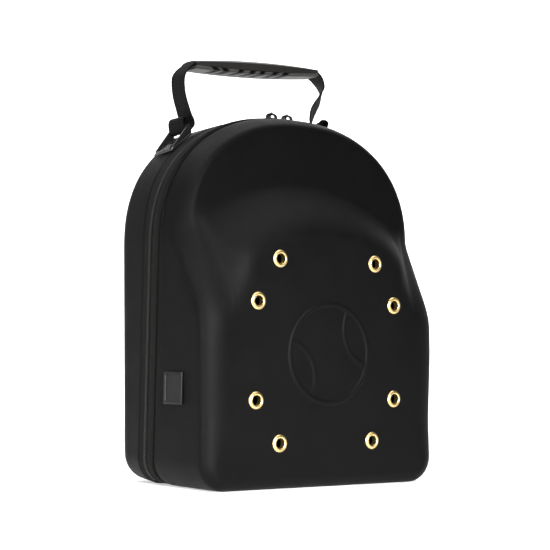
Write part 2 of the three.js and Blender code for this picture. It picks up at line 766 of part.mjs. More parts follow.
// The webbing's middle line from a free end, round the bar and up to the grip's end.
function strapRoute(hand, tail, tailLength, strap) {
  const bar = { x: -hand * barCentre.x, z: barCentre.z };
  const end = gripEnd(hand);
  const height = end.z - bar.z;
  const turn = ANCHOR.bar / 2 + WEBBING.ease + WEBBING.thick / 2;
  const point = (length, row, reach = 0) => {
    const slant = 1 - smooth(row.rise * length, 3, 14);
    const x = bar.x + hand * row.out * length + row.rise * reach;
    return { x, z: bar.z + row.rise * length, turn: row.turn, slant };
  };
  const round = [0, -36, -72, -108, -135].map((angle) => {
    return point(turn, { out: Math.cos(radians(angle)), rise: Math.sin(radians(angle)), turn: 0 });
  });
  const climb = strap.map((row) => point(height, row, end.x - bar.x));
  return [...tail.map((row) => point(tailLength, row)), ...round, ...climb];
}

// One length of webbing: the left free end, the left strap, the run through the grip and the right side back.
function webbing() {
  const left = strapRoute(-1, tailLeft, TAIL_LEFT, strapLeft);
  const right = strapRoute(1, tailRight, TAIL_RIGHT, strapRight);
  const through = [-1, -0.9, 0, 0.9, 1].map((share) => ({
    x: lerp(gripMiddle.x, gripEnd(1).x, share),
    z: lerp(gripMiddle.z, gripEnd(1).z, share),
    turn: 0,
    slant: 0,
  }));
  const route = [...left, ...through, ...right.reverse()];
  const line = new THREE.CatmullRomCurve3(route.map(({ x, z }) => new THREE.Vector3(x, 0, z)));
  const turns = new THREE.CatmullRomCurve3(route.map(({ turn, slant }, i) => new THREE.Vector3(turn, i, slant)));
  const rings = [];
  for (let step = 0; step <= WEBBING_STEPS; step++) {
    const share = stepShare(step / WEBBING_STEPS, left.length, through.length, right.length);
    const along = line.getTangent(share);
    const { x: turn, z: slant } = turns.getPoint(share);
    const angle = radians(turn);
    const across = new THREE.Vector3(Math.sin(angle), Math.cos(angle), 0);
    across.lerp(barDirection(share < 0.5 ? -1 : 1), slant);
    across.addScaledVector(along, (slant - 1) * across.dot(along)).normalize();
    const face = new THREE.Vector3().crossVectors(along, across).normalize();
    const middle = line.getPoint(share).setY(HANDLE_Y);
    rings.push(
      [[-1, -1], [1, -1], [1, 1], [-1, 1]].map(([side, skin]) => {
        return middle
          .clone()
          .addScaledVector(across, (side * WEBBING.width) / 2)
          .addScaledVector(face, (skin * WEBBING.thick) / 2);
      }),
    );
  }
  const flat = [[-1, -1], [1, -1], [1, 1], [-1, 1]].map(([x, y]) => new THREE.Vector2(x, y));
  return loft(rings, { flat });
}

// Shares the steps out by the route's points, with few of them spent inside the grip.
function stepShare(share, before, inside, after) {
  const total = before + inside + after - 1;
  const short = before + after + 1;
  const at = share * short;
  if (at <= before) return at / total;
  if (at >= before + 2) return (at - 2 + inside - 1) / total;
  return (before + ((at - before) / 2) * (inside - 1)) / total;
}

// The grip in sections along its length: bow is 0 at the ends and 1 in the middle.
function gripSections(sectionAt) {
  const rings = [];
  for (let step = 0; step <= GRIP_STEPS; step++) {
    const share = 0.5 - 0.5 * Math.cos((Math.PI * step) / GRIP_STEPS);
    const bow = 1 - Math.pow(2 * share - 1, 2);
    const x = (share - 0.5) * GRIP.length;
    rings.push(sectionAt(bow).map(([y, z]) => new THREE.Vector3(x, y, z)));
  }
  const flat = sectionAt(0).map(([y, z]) => new THREE.Vector2(y, z));
  return loft(rings, { flat });
}

const partingLevel = -(WEBBING.thick / 2 + CLEARANCE);

// The pad: a crowned top with a channel below for the webbing.
function padSection(bow) {
  const side = GRIP.width / 2 - 1.5 * (1 - bow);
  const low = partingLevel - PAD.sag * bow;
  const edge = partingLevel + PAD.edge + 0.6 * PAD.crown * bow;
  const top = edge + 0.8 + 0.4 * PAD.crown * bow;
  const slot = WEBBING.width / 2 + CLEARANCE;
  const roof = WEBBING.thick / 2 + CLEARANCE;
  return [
    [-side, low],
    [-side, edge - 0.8],
    [-0.9 * side, edge + 0.2],
    [-0.5 * side, top],
    [0.5 * side, top],
    [0.9 * side, edge + 0.2],
    [side, edge - 0.8],
    [side, low],
    [slot, low],
    [slot, roof],
    [-slot, roof],
    [-slot, low],
  ];
}

// The body under the pad, rounded along its lower edges.
function bodySection(bow) {
  const side = GRIP.width / 2 - 1.5 * (1 - bow);
  const high = partingLevel - PAD.sag * bow - CLEARANCE;
  const low = high - GRIP_BODY.thick;
  return [
    [-side, high],
    [side, high],
    [side, low + GRIP_BODY.round],
    [side - GRIP_BODY.round, low],
    [-side + GRIP_BODY.round, low],
    [-side, low + GRIP_BODY.round],
  ];
}

function addHandle() {
  addAnchors();
  addPiece("handle_webbing", webbing(), webbingCloth);
  const grip = new THREE.Group();
  grip.position.set(gripMiddle.x, HANDLE_Y, gripMiddle.z);
  grip.rotation.y = -gripTilt;
  carrier.add(grip);
  addPiece("grip_pad", gripSections(padSection), padPlastic, grip);
  addPiece("grip_body", gripSections(bodySection), gripRubber, grip);
}

addShells();
addJoint();
addEyelets();
addSidePatch();
addSliders();
addHandle();

export default carrier;
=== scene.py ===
import math
from collections import namedtuple

import bmesh
import bpy
from mathutils import Matrix, Vector


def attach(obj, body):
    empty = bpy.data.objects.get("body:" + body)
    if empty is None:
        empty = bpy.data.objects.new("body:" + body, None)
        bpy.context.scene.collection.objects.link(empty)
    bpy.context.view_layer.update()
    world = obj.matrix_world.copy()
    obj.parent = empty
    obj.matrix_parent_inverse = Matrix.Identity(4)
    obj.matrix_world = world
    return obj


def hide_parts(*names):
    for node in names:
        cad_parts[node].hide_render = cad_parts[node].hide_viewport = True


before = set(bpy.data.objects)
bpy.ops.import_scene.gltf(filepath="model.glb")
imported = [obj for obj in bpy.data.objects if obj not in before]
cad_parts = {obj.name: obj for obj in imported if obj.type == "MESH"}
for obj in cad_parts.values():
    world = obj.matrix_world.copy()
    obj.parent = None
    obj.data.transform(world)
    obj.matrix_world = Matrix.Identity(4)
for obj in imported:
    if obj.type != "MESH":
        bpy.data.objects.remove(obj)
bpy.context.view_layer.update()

bl_info = {
    "name": "Cap carrier case",
    "version": (1, 0, 0),
    "blender": (4, 5, 0),
    "location": "3D View > Sidebar > Cap case",
    "description": "Dresses the packed cap carrier case: moulded cloth shells, zip, handle and eyelets",
    "category": "Add Mesh",
}

MM = 0.001
SHIFT_Y = 14.25  # from the case's own frame to the row frame, in millimetres
BODY = "case"

# The outline and the back, in millimetres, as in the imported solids
BODY_HEIGHT = 305.0
BODY_WIDTH = 238.6
SIDE_FLARE = 3.9
ARCH_RISE = 108.3
ARCH_POWER = 2.31
CORNER_RADIUS = 23.5
SPRINGING = BODY_HEIGHT - ARCH_RISE
WALL = 4.0
ZIP_LEAN = 0.055
ZIP_LEVEL = 150.0
COIL_WIDTH = 4.6
COIL_PROUD = 0.2
ZIP_START = 0.12  # height at which the zip begins, as a share of the corner's radius
TOOTH_SIZE = (2.7, 1.0, 0.85)
STITCH_SIZE = (1.9, 0.42, 0.34)
STITCH_OFFSET = 3.5
STITCH_SUNK = 0.57
TOOTH_SUNK = 0.28
TOOTH_OFFSET = 0.82  # from the joint's middle to the middle of each row of teeth
TOOTH_SLANT = 0.12  # how far each tooth is turned, in radians
TAPE_GAP = 0.3
FRONT_TAPE = 12.1
BACK_TAPE = 5.4
BACK_TAPE_EXTRA = 5.0
TAPE_SUNK = 0.6
BINDING_PROUD = 0.8
GROOVE_DEPTH = 2.4
BACK_DEPTH = 52.8
BACK_FILLET = 18.0
BACK_DRAFT = 0.035
BACK_FLOOR_DRAFT = 0.057
ROLLED_LIP = 1.2

# The front, in millimetres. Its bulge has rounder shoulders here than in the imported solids
UPPER_DEPTH = 45.2
UPPER_FILLET = 20.0
UPPER_DRAFT = 0.023
BULGE_DEPTH = 79.7
BULGE_FILLET = 10.4
BULGE_FILLET_ACROSS = 20.8
SHOULDER_FILLET = 19.0
SHOULDER_FILLET_ACROSS = 27.0
BULGE_EDGE = 22.0  # inset at which the bulge's depth is read for the wall
FLOOR_FILLET = 9.6
BULGE_DRAFT = 0.03
BULGE_HALF_WIDTH = 137.0
BULGE_RISE = 192.7
BULGE_POWER = 2.36
BULGE_RAMP = 26.0  # how far the bulge takes to rise out of the upper face at its sides
BULGE_RAMP_TOP = 40.0
RAMP_POWER = 1.6
BULGE_CENTRE = 52.3
VALLEY_SOFTNESS = 5.0
HOLE_RADIUS = 5.2
LEAN_ANGLE = 34.0  # how far the upper wall leans in before its tight edge
LEAN_SHARE = 0.4
TIGHT_EDGE = 6.5
RELIEF_CENTRE = (2.0, 108.0)
RELIEF_TURN = math.radians(-24)
RELIEF_RADIUS = 40.0
SEAM_PLACE = 50.0
SEAM_RADIUS = 31.0
RING_LINE = (0.9, 2.4)  # from the ring's middle to the end of its flat crown, and to its foot
SEAM_LINE = (0.7, 2.0)
SEAM_HEIGHT = 0.85  # as a share of the ring's
RELIEF_REACH = 46.0  # the fine rows of the relief begin within this distance of its centre
FACE_ROWS = 66
EDGE_FADE = 0.3  # share of the way in over which the face's depth leaves the one at the wall
WAY_TURN = 0.6  # share over which its rows turn from the wall's ways to the relief's own
SHOULDER_PASSES = 10
SHOULDER_SIDE = 46.0
SHOULDER_LOW = 134.0
SHOULDER_HIGH = 232.0
SHOULDER_DEPTH = 43.0
SHOULDER_STEPS = (3, 3, 2, 1.2)  # how far each pass draws in from the side, below, above and the front
FRONT_FLOOR_REACH = 2.2  # height up to which the floor's rounding is felt, in corner radii
BACK_FLOOR_REACH = 1.3
SHOULDER_BLEND = (100.0, 190.0)  # heights over which the bulge's edge grows rounder
UPPER_BLEND = (SPRINGING - 7, SPRINGING + 43)  # heights over which the wall turns into the upper one
LEAN_BLEND = (SPRINGING - 12, SPRINGING + 28)
EYELETS = [(-49.1, 183.0), (49.1, 183.0), (-70.1, 149.0), (70.1, 149.0),
           (-71.1, 70.9), (71.1, 70.9), (-47.6, 36.7), (47.6, 36.7)]
FRONT_REACH = COIL_WIDTH / 2 + TAPE_GAP + FRONT_TAPE


def clamp(value, low=0.0, high=1.0):
    return max(low, min(high, value))


def lerp(a, b, share):
    return a + (b - a) * share


def smooth(value, low, high):
    share = clamp((value - low) / (high - low))
    return share * share * (3 - 2 * share)


# The user's settings

def strength_property(name, description, default):
    return bpy.props.FloatProperty(name=name, description=description, default=default, min=0.0)


def colour_property(name, description, default):
    return bpy.props.FloatVectorProperty(name=name, description=description, default=default, size=3,
                                         min=0.0, max=1.0, subtype="COLOR")


def length_property(name, description, default):
    return bpy.props.FloatProperty(name=name, description=description, default=default, min=0.0,
                                   unit="LENGTH", subtype="DISTANCE", precision=4)


class CapCaseSizes(bpy.types.PropertyGroup):
    """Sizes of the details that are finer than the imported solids"""
    tooth_pitch: length_property("Tooth pitch", "From one tooth of the zip to the next", 0.0021)
    stitch_pitch: length_property("Stitch pitch", "From one stitch to the next", 0.0026)
    rib_pitch: length_property("Webbing rib", "From one rib of the webbing to the next", 0.0019)
    rib_depth: length_property("Rib depth", "How deep the webbing's ribs are", 0.00045)
    relief: length_property("Relief", "How far the moulded ball stands out of the front", 0.0008)
    groove: length_property("Grip groove", "How deep the grip's finger grooves are", 0.0009)


class CapCaseColours(bpy.types.PropertyGroup):
    """Colours of the case's finishes"""
    shell: colour_property("Shell cloth", "Cloth over the moulded shells", (0.0026, 0.0026, 0.0027))
    tape: colour_property("Zip tape", "Woven tape beside the zip", (0.006, 0.0058, 0.0054))
    coil: colour_property("Zip coil", "Nylon of the zip's teeth", (0.026, 0.026, 0.026))
    webbing: colour_property("Webbing", "Ribbed strap of the handle", (0.007, 0.007, 0.007))
    grip: colour_property("Grip body", "Rubber under the hand", (0.075, 0.073, 0.071))
    pad: colour_property("Grip pad", "Plastic on top of the grip", (0.022, 0.0205, 0.0195))
    paint: colour_property("Slider paint", "Enamel on the sliders and pulls", (0.012, 0.012, 0.012))
    anchor: colour_property("Anchor plastic", "Glossy plastic of the anchors", (0.014, 0.014, 0.0145))
    patch: colour_property("Side patch", "Rubber of the side patch", (0.0065, 0.0065, 0.0068))
    brass: colour_property("Brass", "Rolled eyelets", (0.90, 0.68, 0.31))


class CapCaseStage(bpy.types.PropertyGroup):
    """Light and floor"""
    floor: colour_property("Floor", "Plain pale floor", (0.86, 0.86, 0.86))
    glow: strength_property("Floor glow", "Light of the floor's own", 0.42)
    world: strength_property("Room", "Strength of the room's own light", 0.06)
    top: strength_property("Top light", "Wide soft light from above, in watts", 44.0)
    wall: strength_property("Wall light", "Light on the wall behind, in watts", 30.0)
    front: strength_property("Front light", "Narrow light on the bulge, from the front left, in watts", 1.0)
    graze: strength_property("Side light", "Low light along the left edge, in watts", 0.75)
    shoulder: strength_property("Shoulder light", "Narrow light on the left shoulder, in watts", 0.14)
    back: strength_property("Back light", "Soft light on the left wall, in watts", 2.1)


# Material building

def group_socket(group, name, kind, outgoing=False, default=None):
    socket = group.interface.new_socket(name=name, in_out="OUTPUT" if outgoing else "INPUT", socket_type=kind)
    if default is not None:
        socket.default_value = default
    return socket


def add_node(tree, kind, inputs=None, **settings):
    node = tree.nodes.new(kind)
    for name, value in settings.items():
        setattr(node, name, value)
    for name, value in (inputs or {}).items():
        if isinstance(value, bpy.types.NodeSocket):
            tree.links.new(value, node.inputs[name])
        else:
            node.inputs[name].default_value = value
    return node


def math_node(tree, operation, first, second=0.0, third=0.0):
    return add_node(tree, "ShaderNodeMath", {0: first, 1: second, 2: third}, operation=operation).outputs[0]


def noise(tree, place, scale, detail):
    node = add_node(tree, "ShaderNodeTexNoise", {"Vector": place, "Scale": scale, "Detail": detail})
    return node.outputs["Fac"]


def new_group(name):
    group = bpy.data.node_groups.new(name, "ShaderNodeTree")
    return group, group.nodes.new("NodeGroupInput"), group.nodes.new("NodeGroupOutput")


def weave_group():
    """Crossed threads on a pair of coordinates, with a height and a slow change of tone."""
    if "Crossed threads" in bpy.data.node_groups:
        return bpy.data.node_groups["Crossed threads"]
    group, incoming, outgoing = new_group("Crossed threads")
    group_socket(group, "Along", "NodeSocketFloat")
    group_socket(group, "Across", "NodeSocketFloat")
    group_socket(group, "Place", "NodeSocketVector")
    group_socket(group, "Threads per metre", "NodeSocketFloat", default=1600.0)
    group_socket(group, "Height", "NodeSocketFloat", True)
    group_socket(group, "Tone", "NodeSocketFloat", True)
    turns = math_node(group, "MULTIPLY", incoming.outputs["Threads per metre"], math.pi)
    waves = [math_node(group, "SINE", math_node(group, "MULTIPLY", incoming.outputs[side], turns))
             for side in ("Along", "Across")]
    plait = math_node(group, "MULTIPLY", waves[0], waves[1])
    fuzz = noise(group, incoming.outputs["Place"], 2600.0, 3.0)
    slow = noise(group, incoming.outputs["Place"], 34.0, 4.0)
    lifted = math_node(group, "MULTIPLY_ADD", fuzz, 0.9, plait)
    group.links.new(lifted, outgoing.inputs["Height"])
    group.links.new(slow, outgoing.inputs["Tone"])
    return group


def grain_group():
    """Fine moulded grain with a slow change of tone, for rubber and plastic."""
    if "Moulded grain" in bpy.data.node_groups:
        return bpy.data.node_groups["Moulded grain"]
    group, incoming, outgoing = new_group("Moulded grain")
    group_socket(group, "Place", "NodeSocketVector")
    group_socket(group, "Grains per metre", "NodeSocketFloat", default=1500.0)
    group_socket(group, "Height", "NodeSocketFloat", True)
    group_socket(group, "Tone", "NodeSocketFloat", True)
    fine = noise(group, incoming.outputs["Place"], incoming.outputs["Grains per metre"], 4.0)
    slow = noise(group, incoming.outputs["Place"], 60.0, 5.0)
    group.links.new(fine, outgoing.inputs["Height"])
    group.links.new(slow, outgoing.inputs["Tone"])
    return group


def mixed_colour(tree, factor, first, second):
    """One colour at factor 0 and the other at 1. Each is a value or another node's output."""
    node = add_node(tree, "ShaderNodeMix", {"Factor": factor, 6: first, 7: second}, data_type="RGBA")
    return node.outputs[2]


def toned(tree, colour, tone, spread):
    """The colour, a little darker and lighter with the tone."""
    low = (*[part * (1 - spread) for part in colour], 1.0)
    high = (*[part * (1 + spread) for part in colour], 1.0)
    return mixed_colour(tree, tone, low, high)


def start_material(name, roughness, specular=0.5, metallic=0.0, sheen=0.0, coat=0.0):
    material = bpy.data.materials.new(name)
    material.use_nodes = True
    tree = material.node_tree
    shader = tree.nodes["Principled BSDF"]
    shader.inputs["Roughness"].default_value = roughness
    shader.inputs["Specular IOR Level"].default_value = specular
    shader.inputs["Metallic"].default_value = metallic
    shader.inputs["Sheen Weight"].default_value = sheen
    shader.inputs["Sheen Roughness"].default_value = 0.45
    shader.inputs["Coat Weight"].default_value = coat
    return material, tree, shader


def bump_from(tree, shader, height, distance, strength=1.0):
    bump = add_node(tree, "ShaderNodeBump", {"Height": height, "Distance": distance, "Strength": strength})
    tree.links.new(bump.outputs["Normal"], shader.inputs["Normal"])


def spread_value(tree, value, low, high):
    return add_node(tree, "ShaderNodeMapRange", {"Value": value, "From Min": 0.3, "From Max": 0.7,
                                                 "To Min": low, "To Max": high}).outputs["Result"]


def shell_cloth(colours):
    """Smooth tight cloth over moulded foam. Its threads follow the walls whichever way they face."""
    material, tree, shader = start_material("shell_cloth", 0.52, specular=0.075, sheen=0.004)
    place = add_node(tree, "ShaderNodeTexCoord").outputs["Object"]
    split = add_node(tree, "ShaderNodeSeparateXYZ", {0: place})
    along = math_node(tree, "ADD", split.outputs["X"], split.outputs["Y"])
    across = math_node(tree, "MULTIPLY_ADD", split.outputs["Y"], 0.6, split.outputs["Z"])
    threads = add_node(tree, "ShaderNodeGroup", node_tree=weave_group())
    for name, value in (("Along", along), ("Across", across), ("Place", place)):
        tree.links.new(value, threads.inputs[name])
    threads.inputs["Threads per metre"].default_value = 1500.0
    tree.links.new(toned(tree, colours.shell, threads.outputs["Tone"], 0.22), shader.inputs["Base Color"])
    tree.links.new(spread_value(tree, threads.outputs["Tone"], 0.47, 0.57), shader.inputs["Roughness"])
    bump_from(tree, shader, threads.outputs["Height"], 0.00006, 0.8)
    return material


def strip_cloth(name, colour, threads_per_metre, distance, roughness, specular=0.3, spread=0.3, ribs=False):
    """Woven strip whose threads follow its own map. Its tone carries painted shade between its threads and
    painted highlight on them, and where it has ribs, painted shade near black between them.
    """
    material, tree, shader = start_material(name, roughness, specular=specular, sheen=0.01)
    uv = add_node(tree, "ShaderNodeUVMap", uv_map="UVMap")
    place = add_node(tree, "ShaderNodeTexCoord").outputs["Object"]
    split = add_node(tree, "ShaderNodeSeparateXYZ", {0: uv.outputs["UV"]})
    threads = add_node(tree, "ShaderNodeGroup", node_tree=weave_group())
    tree.links.new(split.outputs["X"], threads.inputs["Along"])
    tree.links.new(split.outputs["Y"], threads.inputs["Across"])
    tree.links.new(place, threads.inputs["Place"])
    threads.inputs["Threads per metre"].default_value = threads_per_metre
    # Painted highlight and shade: the colour is lighter on raised threads and darker between them, following
    # the weave's height.
    light = spread_value(tree, threads.outputs["Height"], 0.2, 0.8)
    tone = toned(tree, colour, light, spread)
    if ribs:
        pitch = bpy.context.scene.cap_case_sizes.rib_pitch
        # Painted shade: the colour goes near black in the hollows between the webbing's ribs.
        wave = math_node(tree, "COSINE", math_node(tree, "MULTIPLY", split.outputs["X"], 2 * math.pi / pitch))
        between = add_node(tree, "ShaderNodeMapRange", {"Value": wave, "From Min": 0.5, "From Max": -0.6})
        tone = mixed_colour(tree, between.outputs["Result"], tone, (0.001, 0.001, 0.001, 1.0))
    tree.links.new(tone, shader.inputs["Base Color"])
    bump_from(tree, shader, threads.outputs["Height"], distance, 0.9)
    return material


def moulded_grain(tree):
    grain = add_node(tree, "ShaderNodeGroup", node_tree=grain_group())
    place = add_node(tree, "ShaderNodeTexCoord").outputs["Object"]
    tree.links.new(place, grain.inputs["Place"])
    return grain


def moulded(name, colour, roughness, specular=0.5, coat=0.0, grains=1500.0, distance=0.00003, spread=0.15):
    material, tree, shader = start_material(name, roughness, specular=specular, coat=coat)
    grain = moulded_grain(tree)
    grain.inputs["Grains per metre"].default_value = grains
    tree.links.new(toned(tree, colour, grain.outputs["Tone"], spread), shader.inputs["Base Color"])
    tree.links.new(spread_value(tree, grain.outputs["Tone"], roughness * 0.9, roughness * 1.1),
                   shader.inputs["Roughness"])
    bump_from(tree, shader, grain.outputs["Height"], distance, 0.7)
    return material


def grip_rubber(colours):
    """Pale rubber with painted shade, near black and without shine, in its grooves, by the mark that the
    grip's mesh carries.
    """
    material, tree, shader = start_material("grip_rubber", 0.55, specular=0.35)
    grain = moulded_grain(tree)
    mark = add_node(tree, "ShaderNodeAttribute", attribute_name="groove")
    body = toned(tree, colours.grip, grain.outputs["Tone"], 0.12)
    # Painted shade: the rubber goes near black in the finger grooves, by the groove mark.
    groove_shaded_colour = mixed_colour(tree, mark.outputs["Fac"], body, (0.004, 0.004, 0.004, 1.0))
    tree.links.new(groove_shaded_colour, shader.inputs["Base Color"])
    # The grooves' shine is lowered along with their painted shade.
    shine = add_node(tree, "ShaderNodeMapRange",
                     {"Value": mark.outputs["Fac"], "To Min": 0.35, "To Max": 0.02})
    tree.links.new(shine.outputs["Result"], shader.inputs["Specular IOR Level"])
    bump_from(tree, shader, grain.outputs["Height"], 0.00004, 0.7)
    return material


def brass(colours):
    """Bright yellow metal, a little worn."""
    material, tree, shader = start_material("brass", 0.36, metallic=1.0)
    grain = moulded_grain(tree)
    tree.links.new(toned(tree, colours.brass, grain.outputs["Tone"], 0.1), shader.inputs["Base Color"])
    tree.links.new(spread_value(tree, grain.outputs["Tone"], 0.32, 0.42), shader.inputs["Roughness"])
    bump_from(tree, shader, grain.outputs["Height"], 0.00001, 0.5)
    return material


FINISHES = {}  # materials made so far, by the name of their finish

# Each plain plastic, rubber or paint: its colour's name in the settings, and its surface
MOULDED_FINISHES = {
    "coil_plastic": ("coil", {"roughness": 0.4, "specular": 0.25}),
    "slider_paint": ("paint", {"roughness": 0.28, "specular": 0.25, "coat": 0.1, "grains": 700.0,
                               "distance": 0.00001}),
    "anchor_plastic": ("anchor", {"roughness": 0.22, "specular": 0.6, "coat": 0.4, "grains": 500.0,
                                  "distance": 0.00001}),
    "pad_plastic": ("pad", {"roughness": 0.45, "specular": 0.45, "grains": 1800.0}),
    "patch_rubber": ("patch", {"roughness": 0.5, "specular": 0.25, "grains": 1800.0}),
}


def finish_named(name):
    """The material of a finish, made when it is first asked for."""
    if name in FINISHES:
        return FINISHES[name]
    FINISHES[name] = new_finish(name, bpy.context.scene.cap_case_colours)
    return FINISHES[name]


def new_finish(name, colours):
    if name == "shell_cloth":
        return shell_cloth(colours)
    if name == "zip_cloth":
        return strip_cloth(name, colours.tape, 1300.0, 0.00022, 0.75, specular=0.09)
    if name == "webbing_cloth":
        return strip_cloth(name, colours.webbing, 1250.0, 0.00012, 0.6, specular=0.1, ribs=True)
    if name in MOULDED_FINISHES:
        colour, surface = MOULDED_FINISHES[name]
        return moulded(name, getattr(colours, colour), **surface)
    if name == "grip_rubber":
        return grip_rubber(colours)
    if name == "brass":
        return brass(colours)
    raise RuntimeError("no finish is called " + name)


# Mesh building

def clear_selection():
    if bpy.context.mode != "OBJECT":
        bpy.ops.object.mode_set(mode="OBJECT")
    bpy.ops.object.select_all(action="DESELECT")


def only(obj):
    clear_selection()
    obj.select_set(True)
    bpy.context.view_layer.objects.active = obj


def settle(obj):
    """Puts the object's place, turn and size into its mesh."""
    only(obj)
    bpy.ops.object.transform_apply(location=True, rotation=True, scale=True)
    return obj


def apply_modifier(obj, name, kind, **settings):
    only(obj)
    modifier = obj.modifiers.new(name, kind)
    for key, value in settings.items():
        setattr(modifier, key, value)
    bpy.ops.object.modifier_apply(modifier=name)
    return obj


def in_edit(obj, mode="VERT"):
    only(obj)
    bpy.ops.object.mode_set(mode="EDIT")
    bpy.ops.mesh.select_mode(type=mode)
    bpy.ops.mesh.select_all(action="DESELECT")
    return bmesh.from_edit_mesh(obj.data)


def leave_edit(obj):
    bpy.ops.object.mode_set(mode="OBJECT")
    return obj


def first_ring(name, row):
    """A ring of vertices at a row's places, left in edit mode. Each keeps its number and its row's number."""
    clear_selection()
    bpy.ops.mesh.primitive_circle_add(vertices=len(row), radius=0.1)
    obj = bpy.context.object
    obj.name = name
    bpy.ops.object.mode_set(mode="EDIT")
    bpy.ops.mesh.select_mode(type="VERT")
    bpy.ops.mesh.select_all(action="SELECT")
    mesh = bmesh.from_edit_mesh(obj.data)
    station = mesh.verts.layers.int.new("station")
    mesh.verts.layers.int.new("level")
    for index, vert in enumerate(mesh.verts):
        vert[station] = index
        vert.co = row[index]
    return obj


def select_rings(obj, wanted):
    """Selects the rings whose rows have the wanted numbers."""
    mesh = bmesh.from_edit_mesh(obj.data)
    level = mesh.verts.layers.int["level"]
    for vert in mesh.verts:
        vert.select = vert[level] in wanted
    mesh.select_flush(True)
    for edge in mesh.edges:
        first, second = edge.verts
        edge.select = first.select and second.select and first[level] == second[level]
    bmesh.update_edit_mesh(obj.data)


def drawn_out(name, rows, loop=False, point_end=False, fill_ends=False):
    """A ring whose corners are the first row, extruded row after row. Rows are in metres in the row frame."""
    obj = first_ring(name, rows[0])
    for number, row in enumerate(rows[1:], start=1):
        bpy.ops.mesh.extrude_region()
        mesh = bmesh.from_edit_mesh(obj.data)
        mesh.verts.ensure_lookup_table()
        station, level = mesh.verts.layers.int["station"], mesh.verts.layers.int["level"]
        for vert in mesh.verts[-len(row):]:
            vert.co = row[vert[station]]
            vert[level] = number
    if point_end:
        bpy.ops.mesh.merge(type="CENTER")
    if fill_ends:
        bpy.ops.mesh.edge_face_add()
        select_rings(obj, {0})
        bpy.ops.mesh.edge_face_add()
    if loop:
        select_rings(obj, {0, len(rows) - 1})
        bpy.ops.mesh.bridge_edge_loops()
    bpy.ops.mesh.select_all(action="SELECT")
    bpy.ops.mesh.normals_make_consistent(inside=False)
    return leave_edit(obj)


def lay_map(obj, lengths, widths, loop_length=None):
    """A UV map in metres: along the rows' lengths and across the stations' widths."""
    mesh = obj.data
    if not mesh.uv_layers:
        mesh.uv_layers.new(name="UVMap")
    layer = mesh.uv_layers[0]
    layer.name = "UVMap"
    station = mesh.attributes["station"].data
    level = mesh.attributes["level"].data
    for face in mesh.polygons:
        levels = [level[vert].value for vert in face.vertices]
        places = [station[vert].value for vert in face.vertices]
        wraps = max(levels) - min(levels) > 1
        turns = max(places) - min(places) > 1
        for corner, row, place in zip(face.loop_indices, levels, places):
            u = loop_length if wraps and row == 0 and loop_length else lengths[row]
            v = widths[-1] if turns and place == 0 else widths[place]
            layer.data[corner].uv = (u, v)
    return obj


def dress(obj, finish, nodes=(), body=BODY, angle=40.0):
    """Gives a finished piece its material, shading and body, and hides the imported parts that it stands for.
    """
    obj.data.materials.clear()
    obj.data.materials.append(finish_named(finish))
    only(obj)
    bpy.ops.object.shade_smooth_by_angle(angle=math.radians(angle))
    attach(obj, body)
    if nodes:
        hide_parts(*nodes)
    return obj


def copies(name, pattern, places):
    """One mesh of many copies of a small modelled shape, each put in place by a matrix."""
    verts = [vert.co.copy() for vert in pattern.data.vertices]
    faces = [tuple(face.vertices) for face in pattern.data.polygons]
    all_verts, all_faces = [], []
    for place in places:
        base = len(all_verts)
        all_verts.extend(place @ vert for vert in verts)
        all_faces.extend(tuple(base + index for index in face) for face in faces)
    mesh = bpy.data.meshes.new(name)
    mesh.from_pydata(all_verts, [], all_faces)
    obj = bpy.data.objects.new(name, mesh)
    bpy.context.scene.collection.objects.link(obj)
    bpy.data.objects.remove(pattern)
    return obj


# The outline and the shells' forms

def outline_stations(floor, corner, side, arch):
    """Places round the outline from the middle of its floor, each a part, a share of it, and a side."""
    half = [("floor", i / floor) for i in range(floor)]
    half += [("corner", i / corner) for i in range(corner)]
    half += [("side", i / side) for i in range(side)]
    half += [("arch", i / arch) for i in range(arch + 1)]
    right = [(part, share, 1) for part, share in half]
    left = [(part, share, -1) for part, share in reversed(half[1:-1])]
    return right + left


def outline_point(station, inset=0.0):
    """Where a station lies on the outline, or on the outline drawn in by an inset."""
    part, share, hand = station
    foot = BODY_WIDTH / 2 - inset
    radius = max(CORNER_RADIUS - inset, 2.0)
    if part == "floor":
        return hand * share * (foot - radius), inset
    if part == "corner":
        angle = share * math.pi / 2
        return hand * (foot - radius + radius * math.sin(angle)), inset + radius * (1 - math.cos(angle))
    if part == "side":
        return hand * (foot + SIDE_FLARE * share), lerp(inset + radius, SPRINGING, share)
    return arch_point(share * math.pi / 2, inset, hand)


def arch_point(angle, inset, hand):
    half = BODY_WIDTH / 2 + SIDE_FLARE - inset
    x = half * max(math.cos(angle), 0.0) ** (2 / ARCH_POWER)
    return hand * x, SPRINGING + (ARCH_RISE - inset) * max(math.sin(angle), 0.0) ** (2 / ARCH_POWER)


def joint_y(z):
    """Depth of the zip's middle at a height. The joint leans forward towards its top."""
    return -ZIP_LEAN * (z - ZIP_LEVEL)


def back_reach(z):
    """From the zip's middle to the back shell's rim, behind the tape."""
    return COIL_WIDTH / 2 + TAPE_GAP + BACK_TAPE + BACK_TAPE_EXTRA * smooth(z, SPRINGING, SPRINGING + 80)


def at(x, y, z):
    """A place of the case's own frame, in millimetres, as a point of the row frame."""
    return Vector((x * MM, (y + SHIFT_Y) * MM, z * MM))


def valley_radius(x, z):
    """How far the bulge reaches from its centre, on the way to a place of the front."""
    length = math.hypot(x, z - BULGE_CENTRE)
    if z <= BULGE_CENTRE or length == 0:
        return 1e6
    across = abs(x) / length / BULGE_HALF_WIDTH
    up = (z - BULGE_CENTRE) / length / BULGE_RISE
    return (across ** BULGE_POWER + up ** BULGE_POWER) ** (-1 / BULGE_POWER)


